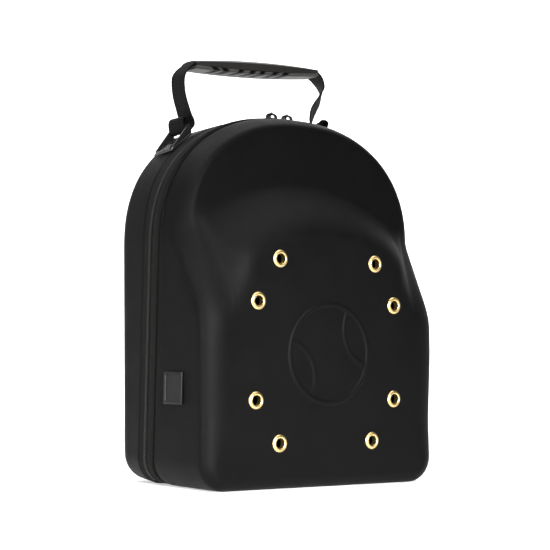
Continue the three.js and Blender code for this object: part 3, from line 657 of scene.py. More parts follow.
def face_depth(x, z):
    """Depth of the front at a place, with a soft turn in the valley."""
    inside = valley_radius(x, z) - math.hypot(x, z - BULGE_CENTRE)
    up = (z - BULGE_CENTRE) / max(math.hypot(x, z - BULGE_CENTRE), 1.0)
    width = lerp(BULGE_RAMP, BULGE_RAMP_TOP, smooth(up, 0.84, 1.0))
    soft = (math.hypot(inside, VALLEY_SOFTNESS) + inside) / 2
    share = clamp(soft / (width + 0.3 * VALLEY_SOFTNESS))
    return lerp(UPPER_DEPTH, BULGE_DEPTH, 1 - (1 - share) ** RAMP_POWER)


WallForm = namedtuple("WallForm", "depth fillet across draft rim hand")


def front_form(station):
    """How the front shell's wall stands and turns at a station."""
    z = outline_point(station)[1]
    low = clamp(1 - z / (FRONT_FLOOR_REACH * CORNER_RADIUS))
    high = smooth(z, *UPPER_BLEND)
    shoulder = smooth(z, *SHOULDER_BLEND)
    fillet = lerp(BULGE_FILLET, SHOULDER_FILLET, shoulder)
    across = lerp(BULGE_FILLET_ACROSS, SHOULDER_FILLET_ACROSS, shoulder)
    return WallForm(depth=face_depth(*outline_point(station, BULGE_EDGE)),
                    fillet=lerp(lerp(fillet, FLOOR_FILLET, low), UPPER_FILLET, high),
                    across=lerp(lerp(across, FLOOR_FILLET, low), UPPER_FILLET, high),
                    draft=lerp(BULGE_DRAFT * (1 - low), UPPER_DRAFT, high),
                    rim=joint_y(z) - FRONT_REACH, hand=-1)


def back_form(station):
    """How the back shell's wall stands and turns at a station."""
    z = outline_point(station)[1]
    low = clamp(1 - z / (BACK_FLOOR_REACH * CORNER_RADIUS))
    return WallForm(depth=BACK_DEPTH, fillet=BACK_FILLET, across=BACK_FILLET,
                    draft=lerp(BACK_DRAFT, BACK_FLOOR_DRAFT, low), rim=joint_y(z) + back_reach(z), hand=1)


def round_edge(share, form):
    """Inset and depth along a round turn from wall to face."""
    angle = share * math.pi / 2
    return (lerp(form.draft * form.fillet * math.sin(angle), form.across, 1 - math.cos(angle)),
            form.depth - form.fillet + form.fillet * math.sin(angle))


def leaning_edge(share, form, rim_depth):
    """Inset and depth along a wall that leans in more and more, and then turns over a tight edge."""
    lean = math.radians(LEAN_ANGLE)
    radius = (form.depth - TIGHT_EDGE * (1 - math.sin(lean)) - rim_depth) / math.sin(lean)
    if share < LEAN_SHARE:
        turn = lean * share / LEAN_SHARE
        return radius * (1 - math.cos(turn)), rim_depth + radius * math.sin(turn)
    turn = lerp(lean, math.pi / 2, (share - LEAN_SHARE) / (1 - LEAN_SHARE))
    return (radius * (1 - math.cos(lean)) + TIGHT_EDGE * (math.cos(lean) - math.cos(turn)),
            form.depth - TIGHT_EDGE * (1 - math.sin(turn)))


def turned_edge(share, form, rim_depth, lean):
    """A round edge, a leaning one, or a mix of both."""
    if lean == 0:
        return round_edge(share, form)
    pairs = zip(round_edge(share, form), leaning_edge(share, form, rim_depth))
    return tuple(lerp(a, b, lean) for a, b in pairs)


def wall_line(station, form, wall_steps, fillet_steps, lean):
    """One station's places from the rim, over its rolled edge, along the wall and round the fillet."""
    line = []
    for turn in range(4):
        angle = turn / 4 * math.pi / 2
        x, z = outline_point(station, ROLLED_LIP * (1 - math.sin(angle)))
        line.append((x, form.rim + form.hand * ROLLED_LIP * (1 - math.cos(angle)), z))
    rim_depth = form.hand * form.rim + ROLLED_LIP
    wall_inset = form.draft * (form.depth - form.fillet)
    wall_end = turned_edge(0, form, rim_depth, lean)[1]
    for step in range(wall_steps):
        share = step / wall_steps
        x, z = outline_point(station, wall_inset * share)
        line.append((x, form.hand * lerp(rim_depth, wall_end, share), z))
    for step in range(fillet_steps + 1):
        inset, depth = turned_edge(step / fillet_steps, form, rim_depth, lean)
        x, z = outline_point(station, wall_inset + inset)
        line.append((x, form.hand * depth, z))
    return line


def wall_rows(stations, form_of, wall_steps, fillet_steps, lean_of=lambda z: 0.0):
    lines = []
    for station in stations:
        lean = lean_of(outline_point(station)[1])
        lines.append(wall_line(station, form_of(station), wall_steps, fillet_steps, lean))
    return [list(row) for row in zip(*lines)]


def front_lean(z):
    """0 where the wall turns round the bulge, 1 where it leans in to the upper face."""
    return smooth(z, *LEAN_BLEND)


def relief_height(x, z):
    """A ball in low relief: a ring and two seams, as a share of the relief's height."""
    dx, dz = x - RELIEF_CENTRE[0], z - RELIEF_CENTRE[1]
    u = dx * math.cos(RELIEF_TURN) - dz * math.sin(RELIEF_TURN)
    v = dx * math.sin(RELIEF_TURN) + dz * math.cos(RELIEF_TURN)
    radius = math.hypot(u, v)
    ring = 1 - smooth(abs(radius - RELIEF_RADIUS), *RING_LINE)
    seams = 0.0
    if radius < RELIEF_RADIUS:
        for hand in (-1, 1):
            seam = abs(math.hypot(u - hand * SEAM_PLACE, v) - SEAM_RADIUS)
            seams = max(seams, SEAM_HEIGHT * (1 - smooth(seam, *SEAM_LINE)))
    return max(ring, seams)


def directions(stations):
    """The ways from the relief's centre to the outline's own places."""
    ways = []
    for station in stations:
        x, z = outline_point(station)
        dx, dz = x - RELIEF_CENTRE[0], z - RELIEF_CENTRE[1]
        ways.append((dx / math.hypot(dx, dz), dz / math.hypot(dx, dz)))
    return ways


def face_rows(edge, stations):
    """Rows from the wall's edge in to the relief."""
    samples = [outline_point(station, BULGE_EDGE) for station in stations]
    cx, cz = RELIEF_CENTRE
    rows = []
    for step in range(1, FACE_ROWS + 1):
        share = step / FACE_ROWS
        fade = 1 - smooth(share, 0.0, EDGE_FADE)
        spread = smooth(share, 0.0, WAY_TURN)
        row = []
        for (x, y, z), (sx, sz), (dx, dz) in zip(edge, samples, directions(stations)):
            reach = math.hypot(x - cx, z - cz)
            ux = lerp((x - cx) / reach, dx, spread)
            uz = lerp((z - cz) / reach, dz, spread)
            scale = lerp(reach, RELIEF_REACH, share) / math.hypot(ux, uz)
            px, pz = cx + ux * scale, cz + uz * scale
            row.append((px, -face_depth(px + (sx - x) * fade, pz + (sz - z) * fade), pz))
        rows.append(row)
    return rows


def relief_rows(stations, height):
    """Fine rows across the relief's ring, then even ones over its seams to near the centre."""
    cx, cz = RELIEF_CENTRE
    radii = [44.6, 43.6]
    radii += [42.8 - 0.6 * step for step in range(11)]
    radii += [35.6 - 1.25 * step for step in range(28)]
    rows = []
    for radius in radii:
        places = [(cx + dx * radius, cz + dz * radius) for dx, dz in directions(stations)]
        rows.append([(x, -face_depth(x, z) - height * relief_height(x, z), z) for x, z in places])
    return rows


def front_shell(sizes):
    """The bulging front shell with its relief and its eight holes."""
    stations = outline_stations(12, 12, 24, 50)
    rows = wall_rows(stations, front_form, 7, 18, front_lean)
    rows += face_rows(rows[-1], stations)
    rows += relief_rows(stations, sizes.relief / MM)
    obj = drawn_out("front_shell_cloth", [[at(*point) for point in row] for row in rows], point_end=True)
    face_outwards(obj)
    ease_shoulders(obj)
    pierce(obj)
    apply_modifier(obj, "wall", "SOLIDIFY", thickness=WALL * MM, offset=-1.0)
    return dress(obj, "shell_cloth", ["front_shell"], angle=50.0)


def face_outwards(obj):
    """Turns an open shell's faces away from the case's middle."""
    centre = at(0, 0, 140)
    outward = sum((face.center - centre).dot(face.normal) * face.area for face in obj.data.polygons)
    if outward < 0:
        in_edit(obj)
        bpy.ops.mesh.select_all(action="SELECT")
        bpy.ops.mesh.flip_normals()
        leave_edit(obj)


def ease_shoulders(obj):
    """Smooths the bulge's two shoulders where they run into the side walls, most in the middle of each."""
    from_side, from_below, from_above, from_front = SHOULDER_STEPS
    mesh = in_edit(obj)
    for inner in range(SHOULDER_PASSES):
        for vert in mesh.verts:
            x, y, z = vert.co.x / MM, vert.co.y / MM - SHIFT_Y, vert.co.z / MM
            beside = abs(x) > SHOULDER_SIDE + from_side * inner
            level = SHOULDER_LOW + from_below * inner < z < SHOULDER_HIGH - from_above * inner
            vert.select = beside and level and y < -SHOULDER_DEPTH - from_front * inner
        bmesh.update_edit_mesh(obj.data)
        bpy.ops.mesh.vertices_smooth(factor=0.5, repeat=6)
        mesh = bmesh.from_edit_mesh(obj.data)
    leave_edit(obj)


def pierce(obj):
    """Opens the eight eyelet holes and rounds their edges."""
    centres = [at(x, -BULGE_DEPTH, z) for x, z in EYELETS]
    mesh = in_edit(obj, "FACE")
    for face in mesh.faces:
        middle = face.calc_center_median()
        face.select = any((middle - centre).length < HOLE_RADIUS * MM for centre in centres)
    bmesh.update_edit_mesh(obj.data)
    bpy.ops.mesh.delete(type="FACE")
    mesh = bmesh.from_edit_mesh(obj.data)
    for vert in mesh.verts:
        if not vert.is_boundary:
            continue
        centre = min(centres, key=lambda place: (vert.co - place).length)
        away = Vector((vert.co.x - centre.x, 0, vert.co.z - centre.z))
        if away.length < 2 * HOLE_RADIUS * MM:
            vert.co = Vector((centre.x, vert.co.y, centre.z)) + away.normalized() * HOLE_RADIUS * MM
    bmesh.update_edit_mesh(obj.data)
    leave_edit(obj)


def back_shell():
    """The plain back shell, with its flat back drawn in to the middle."""
    stations = outline_stations(12, 12, 24, 50)
    rows = wall_rows(stations, back_form, 8, 12)
    edge = rows[-1]
    for share in (0.02, 0.06, 0.14, 0.3, 0.5, 0.7, 0.88, 0.97):
        rows.append([(lerp(x, 0, share), BACK_DEPTH, lerp(z, ZIP_LEVEL, share)) for x, y, z in edge])
    obj = drawn_out("back_shell_cloth", [[at(*point) for point in row] for row in rows], point_end=True)
    face_outwards(obj)
    apply_modifier(obj, "wall", "SOLIDIFY", thickness=WALL * MM, offset=-1.0)
    return dress(obj, "shell_cloth", ["back_shell"], angle=50.0)


# Bands along the joint

def lengths_along(points):
    """Lengths along a line of flat points, from 0."""
    lengths = [0.0]
    for (a, b), (c, d) in zip(points, points[1:]):
        lengths.append(lengths[-1] + math.hypot(c - a, d - b))
    return lengths


class Path:
    """The outline at the joint as evenly spaced places, each with its way out of the case."""

    def __init__(self, spacing):
        stations = outline_stations(40, 40, 80, 160)
        points = [outline_point(station) for station in stations]
        points.append(points[0])
        lengths = lengths_along(points)
        self.length = lengths[-1]
        self.count = int(self.length / spacing)
        self.spacing = self.length / self.count
        self.places = []
        index = 0
        for number in range(self.count):
            target = number * self.spacing
            while lengths[index + 1] < target:
                index += 1
            share = (target - lengths[index]) / max(lengths[index + 1] - lengths[index], 1e-9)
            (x0, z0), (x1, z1) = points[index], points[index + 1]
            self.places.append((lerp(x0, x1, share), lerp(z0, z1, share)))

    def frame(self, number):
        """Place, way out and way ahead at a numbered place."""
        x0, z0 = self.places[(number - 1) % self.count]
        x1, z1 = self.places[(number + 1) % self.count]
        length = math.hypot(x1 - x0, z1 - z0)
        x, z = self.places[number % self.count]
        return x, z, (z1 - z0) / length, (x0 - x1) / length

    def point(self, number, out, y):
        x, z, nx, nz = self.frame(number)
        return at(x + nx * out, joint_y(z) + y, z + nz * out)


def widths_of(section):
    """Lengths round a closed section, in metres."""
    return [length * MM for length in lengths_along(section + section[:1])]


def band(name, path, section_at, numbers, loop):
    """A strip of the given sections along the joint's numbered places."""
    rows = []
    for number in numbers:
        z = path.places[number % path.count][1]
        rows.append([path.point(number, out, y) for out, y in section_at(z)])
    obj = drawn_out(name, rows, loop=loop, fill_ends=not loop)
    lengths = [index * path.spacing * MM for index in range(len(numbers))]
    return lay_map(obj, lengths, widths_of(section_at(ZIP_LEVEL)), loop_length=path.length * MM)


def front_tape_section(z):
    proud = lerp(-TAPE_SUNK, BINDING_PROUD, smooth(z, 2, CORNER_RADIUS))
    start = -(COIL_WIDTH / 2 + TAPE_GAP)
    end = -FRONT_REACH + 0.3
    top = [(-TAPE_SUNK - 0.3, 0.0), (-TAPE_SUNK, 0.02), (-TAPE_SUNK, 0.1), (-TAPE_SUNK, 0.18),
           (lerp(-TAPE_SUNK, proud, 0.3), 0.22), (lerp(-TAPE_SUNK, proud, 0.7), 0.26),
           (lerp(-TAPE_SUNK, proud, 0.93), 0.31), (proud, 0.38), (proud, 0.46), (proud - 0.12, 0.54),
           (proud - 0.45, 0.6), (proud - 1.0, 0.64), (-GROOVE_DEPTH + 0.5, 0.68), (-GROOVE_DEPTH, 0.72),
           (-GROOVE_DEPTH, 0.84), (-GROOVE_DEPTH, 1.0)]
    rows = [(out, lerp(start, end, share)) for out, share in top]
    return rows + [(-WALL, end), (-WALL, start)]


def back_tape_section(z):
    start = COIL_WIDTH / 2 + TAPE_GAP
    end = back_reach(z) - 0.3
    rows = [(-TAPE_SUNK - 0.3, 0.0), (-TAPE_SUNK, 0.03), (-TAPE_SUNK, 0.2), (-TAPE_SUNK, 0.45), (-0.45, 0.55),
            (-0.25, 0.65), (-0.15, 0.8), (-0.25, 0.95), (-0.7, 1.0)]
    return [(out, lerp(start, end, share)) for out, share in rows] + [(-WALL, end), (-WALL, start)]


def bed_section(z):
    half = COIL_WIDTH / 2
    return [(-WALL, -half), (-WALL, half), (-0.75, half), (-0.5, 0.6 * half), (-0.5, -0.6 * half),
            (-0.75, -half)]


def hinge_section(z):
    half = COIL_WIDTH / 2
    return [(-WALL, -half), (-WALL, half), (-0.9, half), (-TAPE_SUNK, 0.5 * half), (-TAPE_SUNK, -0.5 * half),
            (-0.9, -half)]


def zip_numbers(path):
    """Numbers of the coil's first and last places. It runs over all but the bottom between the corners."""
    raised = [number for number in range(path.count) if path.places[number][1] > ZIP_START * CORNER_RADIUS]
    return raised[0], raised[-1]


def capsule(length, width, height):
    """A small low-sided bead, long along Y."""
    clear_selection()
    bpy.ops.mesh.primitive_uv_sphere_add(segments=6, ring_count=4, radius=0.5)
    obj = bpy.context.object
    obj.scale = (width * MM, length * MM, height * MM)
    return settle(obj)


def path_matrix(path, place, out, y, turn=0.0):
    """A matrix at a length along the path. Its X runs along the joint, Y across it and Z out of the case."""
    number = int(place / path.spacing)
    share = place / path.spacing - number
    x, z, nx, nz = path.frame(number)
    x1, z1 = path.places[(number + 1) % path.count]
    x, z = lerp(x, x1, share), lerp(z, z1, share)
    ahead = Vector((-nz, 0, nx))
    outward = Vector((nx, 0, nz))
    across = outward.cross(ahead)
    turned = Matrix.Rotation(turn, 3, outward)
    basis = Matrix((turned @ ahead, turned @ across, outward)).transposed().to_4x4()
    return Matrix.Translation(at(x + nx * out, joint_y(z) + y, z + nz * out)) @ basis


def zip_parts(sizes):
    """The two tapes, the cloth hinge, and the coil with its bed and stitches."""
    path = Path(2.0)
    everywhere = list(range(path.count))
    first, last = zip_numbers(path)
    below = [number % path.count for number in range(last + 1, first + path.count)]
    front = band("front_tape_cloth", path, front_tape_section, everywhere, True)
    dress(front, "zip_cloth", ["front_tape"], angle=60.0)
    back = band("back_tape_cloth", path, back_tape_section, everywhere, True)
    dress(back, "zip_cloth", ["back_tape"], angle=60.0)
    hinge = band("hinge_cloth", path, hinge_section, below, False)
    dress(hinge, "zip_cloth", ["hinge_strip"], angle=60.0)
    bed = band("coil_bed", path, bed_section, list(range(first, last + 1)), False)
    dress(bed, "zip_cloth", angle=60.0)
    coil_teeth(path, sizes, first * path.spacing, last * path.spacing)
    stitch_rows(path, sizes, first * path.spacing, last * path.spacing)


def coil_teeth(path, sizes, start, end):
    """Two rows of teeth that reach between each other over the joint."""
    pitch = sizes.tooth_pitch / MM
    places = []
    for number in range(int((end - start) / pitch)):
        for side in (-1, 1):
            place = start + (number + 0.5 + 0.25 * side) * pitch
            places.append(path_matrix(path, place, -TOOTH_SUNK, side * TOOTH_OFFSET, side * TOOTH_SLANT))
    teeth = copies("zip_coil_teeth", capsule(*TOOTH_SIZE), places)
    dress(teeth, "coil_plastic", ["zip_coil"], angle=80.0)


def stitch_rows(path, sizes, start, end):
    """A row of stitches along each tape, beside the coil."""
    pitch = sizes.stitch_pitch / MM
    places = []
    for y in (-STITCH_OFFSET, STITCH_OFFSET):
        for number in range(int((end - start) / pitch)):
            place = path_matrix(path, start + number * pitch, -STITCH_SUNK, y)
            places.append(place @ Matrix.Rotation(math.pi / 2, 4, "Z"))
    obj = copies("zip_stitches", capsule(*STITCH_SIZE), places)
    dress(obj, "webbing_cloth", angle=80.0)


# Eyelets

# The rolled ring's section: distances from the eyelet's axis and out of the front, in millimetres
EYELET_SECTION = [(4.05, 0.6), (4.15, 1.05), (4.6, 1.45), (5.2, 1.6), (5.85, 1.45), (6.45, 1.0), (6.85, 0.5),
                  (7.0, 0.32), (6.6, 0.3), (5.6, 0.3), (4.8, 0.3), (4.8, -2.0), (4.8, -4.3), (5.8, -4.3),
                  (5.8, -4.7), (5.4, -5.1), (4.9, -5.2), (4.6, -4.8), (4.55, -4.0), (4.55, -0.4), (4.3, 0.3)]


def eyelets():
    """Eight rings, each spun from its section about its own axis."""
    for number, (x, z) in enumerate(EYELETS, start=1):
        clear_selection()
        bpy.ops.mesh.primitive_circle_add(vertices=len(EYELET_SECTION), radius=1.0)
        obj = bpy.context.object
        obj.name = "brass_eyelet_%d" % number
        bpy.ops.object.mode_set(mode="EDIT")
        mesh = bmesh.from_edit_mesh(obj.data)
        centre = at(x, -BULGE_DEPTH, z)
        for vert, (radius, out) in zip(mesh.verts, EYELET_SECTION):
            vert.co = centre + Vector((radius * MM, -out * MM, 0))
        bmesh.update_edit_mesh(obj.data)
        bpy.ops.mesh.select_all(action="SELECT")
        bpy.ops.mesh.spin(steps=48, angle=2 * math.pi, center=centre, axis=(0, 1, 0))
        bpy.ops.mesh.select_all(action="SELECT")
        bpy.ops.mesh.remove_doubles(threshold=0.00002)
        bpy.ops.mesh.normals_make_consistent(inside=False)
        leave_edit(obj)
        dress(obj, "brass", ["eyelet_%d" % number], angle=60.0)


# Plates, bars and other hard pieces

def block(name, size, centre=(0, 0, 0), bevel=0.4, segments=3):
    """A box with rounded edges, in millimetres, in its own frame."""
    clear_selection()
    bpy.ops.mesh.primitive_cube_add(size=1.0)
    obj = bpy.context.object
    obj.name = name
    obj.scale = [part * MM for part in size]
    obj.location = [part * MM for part in centre]
    settle(obj)
    return apply_modifier(obj, "edges", "BEVEL", width=bevel * MM, segments=segments)


def rod(radius, length, centre=(0, 0, 0), rotation=(0, 0, 0), sides=32, bevel=0.3):
    clear_selection()
    bpy.ops.mesh.primitive_cylinder_add(vertices=sides, radius=radius * MM, depth=length * MM,
                                        location=[part * MM for part in centre], rotation=rotation)
    obj = settle(bpy.context.object)
    return apply_modifier(obj, "edges", "BEVEL", width=bevel * MM, segments=2, limit_method="ANGLE")


def hoop(radius, thick, centre=(0, 0, 0), rotation=(0, 0, 0), scale=(1, 1, 1)):
    clear_selection()
    bpy.ops.mesh.primitive_torus_add(major_radius=radius * MM, minor_radius=thick * MM,
                                     major_segments=40, minor_segments=14,
                                     location=[part * MM for part in centre], rotation=rotation)
    obj = bpy.context.object
    obj.scale = scale
    return settle(obj)


def united(first, *others):
    """One closed piece out of several that overlap."""
    for other in others:
        apply_modifier(first, "union", "BOOLEAN", operation="UNION", object=other, solver="EXACT")
        bpy.data.objects.remove(other)
    return first


RIM_SLOPE = 0.35  # how far the rim's inner side leans, in millimetres


def raise_rim(obj, border, depth):
    """Insets the largest face that looks up and sinks it, which leaves a rim."""
    mesh = in_edit(obj, "FACE")
    highest = max(mesh.faces, key=lambda face: (face.normal.z > 0.99) * face.calc_area())
    highest.select = True
    bmesh.update_edit_mesh(obj.data)
    bpy.ops.mesh.inset(thickness=border * MM, depth=0)
    bpy.ops.mesh.inset(thickness=RIM_SLOPE * MM, depth=-depth * MM)
    return leave_edit(obj)


def put(obj, matrix):
    """Moves a piece from its own frame to its place, in its mesh."""
    obj.matrix_world = matrix
    return settle(obj)


# Sliders and pulls

SLIDERS = (("left", -7.2), ("right", 9.2))
SLIDER_HEIGHT = 6.2
PLATE_LEVEL = COIL_PROUD + 0.3
BAR_LEVEL = PLATE_LEVEL + SLIDER_HEIGHT - 0.6


def sliders():
    """Each slider's plate and cheeks, with its open bridge."""
    for side, x in SLIDERS:
        nose = -1 if side == "left" else 1
        base = block("zip_slider_" + side, (12.4, 7.4, 1.5), (0, 0, 0.75), bevel=0.55, segments=4)
        cheeks = block("cheek", (7.6, 9.0, 1.5), (0.6 * nose, 0, 0.75), bevel=0.6, segments=4)
        ridge = block("ridge", (9.6, 2.6, 1.2), (0, 0, 1.7), bevel=0.5, segments=4)
        bridge = hoop(3.0, 1.05, (0, 0, 3.05), (math.pi / 2, 0, 0), (1.5, 0.8, 1.1))
        obj = united(base, cheeks, ridge, bridge)
        put(obj, Matrix.Translation(at(x, joint_y(BODY_HEIGHT), BODY_HEIGHT + PLATE_LEVEL)))
        dress(obj, "slider_paint", ["slider_" + side], angle=35.0)


def pulls():
    """Each pull's eye round the bridge, and its tab, which lies back on the shell."""
    for side, x in SLIDERS:
        eye = hoop(1.25, 0.36, (0, 0, 0), (0, math.pi / 2, 0))
        eye.name = "zip_pull_" + side
        neck = block("neck", (2.6, 5.6, 2.2), (0, 4.5, -3.5), bevel=0.35)
        stem = block("stem", (2.0, 1.2, 3.4), (0, 2.3, -1.9), bevel=0.35)
        tab = block("tab", (8.0, 26.5, 1.9), (0, 19.0, -4.9), bevel=0.8, segments=4)
        raise_rim(tab, 1.1, 0.45)
        obj = united(eye, stem, neck, tab)
        put(obj, Matrix.Translation(at(x, joint_y(BODY_HEIGHT), BODY_HEIGHT + BAR_LEVEL)))
        dress(obj, "slider_paint", ["pull_" + side], body="pull_%s_tab" % side, angle=35.0)


# Side patch

PATCH_SIZE = (25.6, 25.0, 1.6)
PATCH_LEVEL = 79.6
PATCH_MIDDLE = joint_y(PATCH_LEVEL) - 40.6
PATCH_SUNK = 0.32
PATCH_SPAN = 20.0  # the wall's slope is read over this length


def side_wall_x(y, z):
    """Where the left wall stands at a depth and a height."""
    share = clamp((z - CORNER_RADIUS) / (SPRINGING - CORNER_RADIUS))
    half = BODY_WIDTH / 2 + SIDE_FLARE * share
    rim = joint_y(z) - FRONT_REACH
    end = BULGE_FILLET - BULGE_DEPTH
    return -(half + BULGE_DRAFT * end * clamp((y - rim) / (end - rim)))


def side_patch():
    """A rubber plate with a raised border, laid against the left wall."""
    plate = block("side_patch_rubber", PATCH_SIZE, (0, 0, PATCH_SIZE[2] / 2), bevel=0.7, segments=4)
    raise_rim(plate, 1.7, 0.7)
    behind = side_wall_x(PATCH_MIDDLE + PATCH_SPAN / 2, PATCH_LEVEL)
    before = side_wall_x(PATCH_MIDDLE - PATCH_SPAN / 2, PATCH_LEVEL)
    outward = Vector((-PATCH_SPAN, behind - before, 0)).normalized()
    up = Vector((0, 0, 1))
    basis = Matrix((up, outward.cross(up), outward)).transposed().to_4x4()
    seat = at(side_wall_x(PATCH_MIDDLE, PATCH_LEVEL) - PATCH_SUNK, PATCH_MIDDLE, PATCH_LEVEL)
    put(plate, Matrix.Translation(seat) @ basis)
    dress(plate, "patch_rubber", ["side_patch"], angle=35.0)


# Handle

HANDLE_Y = 22.5
ANCHOR_TURN = 47.8
ANCHOR_SLANT = 7.0
ANCHOR_STEP = 0.02  # turn over which the arch's slope is read under an anchor, in radians
BAR_ALONG = 15.0
BAR_RISE = 7.0
BAR_SIZE = 4.0
WEBBING_WIDTH = 20.0
WEBBING_THICK = 1.6
WEBBING_EASE = 0.8
GRIP_LENGTH = 129.0
GRIP_WIDTH = 26.0
GRIP_X = -6.5
GRIP_RISE = 59.2
GRIP_TILT = math.radians(3.6)
ROWS_PER_RIB = 4
STRAP_EDGE = [(0.985, -0.9), (1, -0.55), (1, 0.55), (0.985, 0.9)]
STRAP_SECTION = [(-1, -0.55), (-0.985, -0.9)] + [(side, -1) for side in (-0.93, -0.5, 0, 0.5, 0.93)] \
    + STRAP_EDGE + [(side, 1) for side in (0.93, 0.5, 0, -0.5, -0.93)] + [(-0.985, 0.9), (-1, 0.55)]
TAIL_LENGTH_LEFT = 12.0
TAIL_LENGTH_RIGHT = 19.0
LUG_THICK = 1.7
ANCHOR_SIZE = (27.0, 25.6, 1.6)

# The webbing's courses. Each row is a rise and a way out, as shares of the course's height,
# and a twist in degrees. A strap's way out is measured from the straight line between its bar and the grip
STRAP_LEFT = [(0.015, -0.103, 0), (0.06, -0.119, 0), (0.135, -0.1, 0), (0.208, -0.056, 0),
              (0.354, 0.023, 1), (0.5, 0.095, 2), (0.64, 0.141, 2), (0.75, 0.161, 1), (0.83, 0.154, 0),
              (0.91, 0.11, 0), (0.97, 0.05, 0)]
STRAP_RIGHT = [(0.021, -0.118, 2), (0.077, -0.187, 6), (0.133, -0.248, 14), (0.205, -0.25, 25),
               (0.292, -0.226, 39), (0.367, -0.19, 44), (0.452, -0.134, 48), (0.532, -0.059, 49),
               (0.63, 0.039, 44), (0.73, 0.11, 34), (0.815, 0.127, 22), (0.91, 0.099, 10),
               (0.975, 0.046, 2)]
TAIL_LEFT = [(0.41, -0.075, 0), (0.6, -0.11, 0), (0.75, 0.05, 0), (0.72, 0.25, 0), (0.52, 0.367, 0),
             (0.28, 0.35, 0)]
TAIL_RIGHT = [(0.69, -0.45, 42), (0.78, -0.56, 42), (0.93, -0.51, 42), (0.965, -0.36, 42), (0.75, -0.25, 40),
              (0.5, -0.02, 26), (0.22, 0.15, 8)]


class AnchorSeat:
    """Where the anchors sit on the back shell's shoulders, in the case's own frame."""

    def __init__(self):
        rim = joint_y(BODY_HEIGHT - ARCH_RISE / 4) + back_reach(BODY_HEIGHT)
        straight = BACK_DEPTH - BACK_FILLET
        slope = BACK_DRAFT * straight / (straight - rim)
        inset = slope * (HANDLE_Y - rim)
        angle = math.radians(ANCHOR_TURN)
        self.x, self.z = arch_point(angle, inset, -1)
        ax, az = arch_point(angle + ANCHOR_STEP, inset, -1)
        self.upward = math.atan2(az - self.z, ax - self.x)
        self.lean = math.atan(slope)
        turned = self.turn(-1)
        self.bar = Vector((self.x, 0, self.z)) + turned @ Vector((BAR_ALONG, 0, BAR_RISE))

    def turn(self, hand):
        # The mesh's turn is read as Y, then X, then Z, each about the piece's own axes.
        about_y = Matrix.Rotation(-self.upward, 3, "Y")
        about_x = Matrix.Rotation(hand * self.lean, 3, "X")
        about_z = Matrix.Rotation(-hand * math.radians(ANCHOR_SLANT), 3, "Z")
        return about_y @ about_x @ about_z

    def bar_direction(self, hand):
        direction = self.turn(-1) @ Vector((0, 1, 0))
        direction.x *= -hand
        return direction


def anchors():
    """Each anchor's rimmed plate with its lip, boss and stud, and the bar between two lugs."""
    seat = AnchorSeat()
    for side, hand in (("left", -1), ("right", 1)):
        plate = block("handle_anchor_" + side, ANCHOR_SIZE, (0, 0, 1.1), bevel=0.5, segments=3)
        raise_rim(plate, 2.2, 0.6)
        lip = block("lip", (1.8, 20.0, 1.6), (-12.2, 0, 2.2), bevel=0.5)
        boss = rod(3.6, 1.5, (-5.2, 0, 1.9), bevel=0.6, sides=40)
        stud = rod(2.0, 0.8, (-5.2, 0, 2.9), bevel=0.35)
        parts = [lip, boss, stud]
        for edge in (-1, 1):
            parts.append(lug(edge * (ANCHOR_SIZE[1] - LUG_THICK) / 2))
        parts.append(rod(BAR_SIZE / 2, 24.4, (BAR_ALONG, 0, BAR_RISE), (math.pi / 2, 0, 0)))
        obj = united(plate, *parts)
        turned = seat.turn(hand).to_4x4()
        place = Matrix.Translation(at(-hand * seat.x, HANDLE_Y - seat.bar.y, seat.z))
        around = Matrix.Rotation(math.pi if hand > 0 else 0.0, 4, "Z")
        put(obj, place @ around @ turned)
        dress(obj, "anchor_plastic", ["anchor_" + side], angle=35.0)


def lug(y):
    """One of the two cheeks that carry the anchor's bar."""
    outline = [(-10.5, 1.7), (13.5, 1.7)]
    for along, rise in ((1.4, -1.9), (2.2, 0.0), (1.4, 1.8), (0.0, 2.2), (-1.8, 1.6)):
        outline.append((BAR_ALONG + along, BAR_RISE + rise))
    outline.append((-10.5, 3.1))
    rows = [[Vector((x, y + side * LUG_THICK / 2, z)) * MM for x, z in outline] for side in (-1, 1)]
    obj = drawn_out("lug", rows, fill_ends=True)
    return apply_modifier(obj, "edges", "BEVEL", width=0.3 * MM, segments=2, limit_method="ANGLE",
                          angle_limit=math.radians(40))


def spline(points, spacing):
    """Evenly spaced samples of a smooth line through rows of numbers, of which the first two are a place."""
    def blend(a, b, c, d, share):
        return [0.5 * (2 * q + (r - p) * share + (2 * p - 5 * q + 4 * r - s) * share ** 2
                       + (3 * q - p - 3 * r + s) * share ** 3) for p, q, r, s in zip(a, b, c, d)]
    dense = []
    for index in range(len(points) - 1):
        a = points[max(index - 1, 0)]
        b, c = points[index], points[index + 1]
        d = points[min(index + 2, len(points) - 1)]
        steps = max(2, int(math.hypot(c[0] - b[0], c[1] - b[1]) / 0.2))
        dense.extend(blend(a, b, c, d, step / steps) for step in range(steps))
    dense.append(list(points[-1]))
    samples, travelled, target = [], 0.0, 0.0
    for now, after in zip(dense, dense[1:]):
        length = math.hypot(after[0] - now[0], after[1] - now[1])
        while travelled + length >= target and length > 0:
            share = (target - travelled) / length
            samples.append([lerp(a, b, share) for a, b in zip(now, after)])
            target += spacing
        travelled += length
    return samples


def grip_end(seat, hand):
    """Where the webbing enters the grip, on one side."""
    x = GRIP_X + hand * GRIP_LENGTH * math.cos(GRIP_TILT) / 2
    return x, seat.bar.z + GRIP_RISE + hand * GRIP_LENGTH * math.sin(GRIP_TILT) / 2


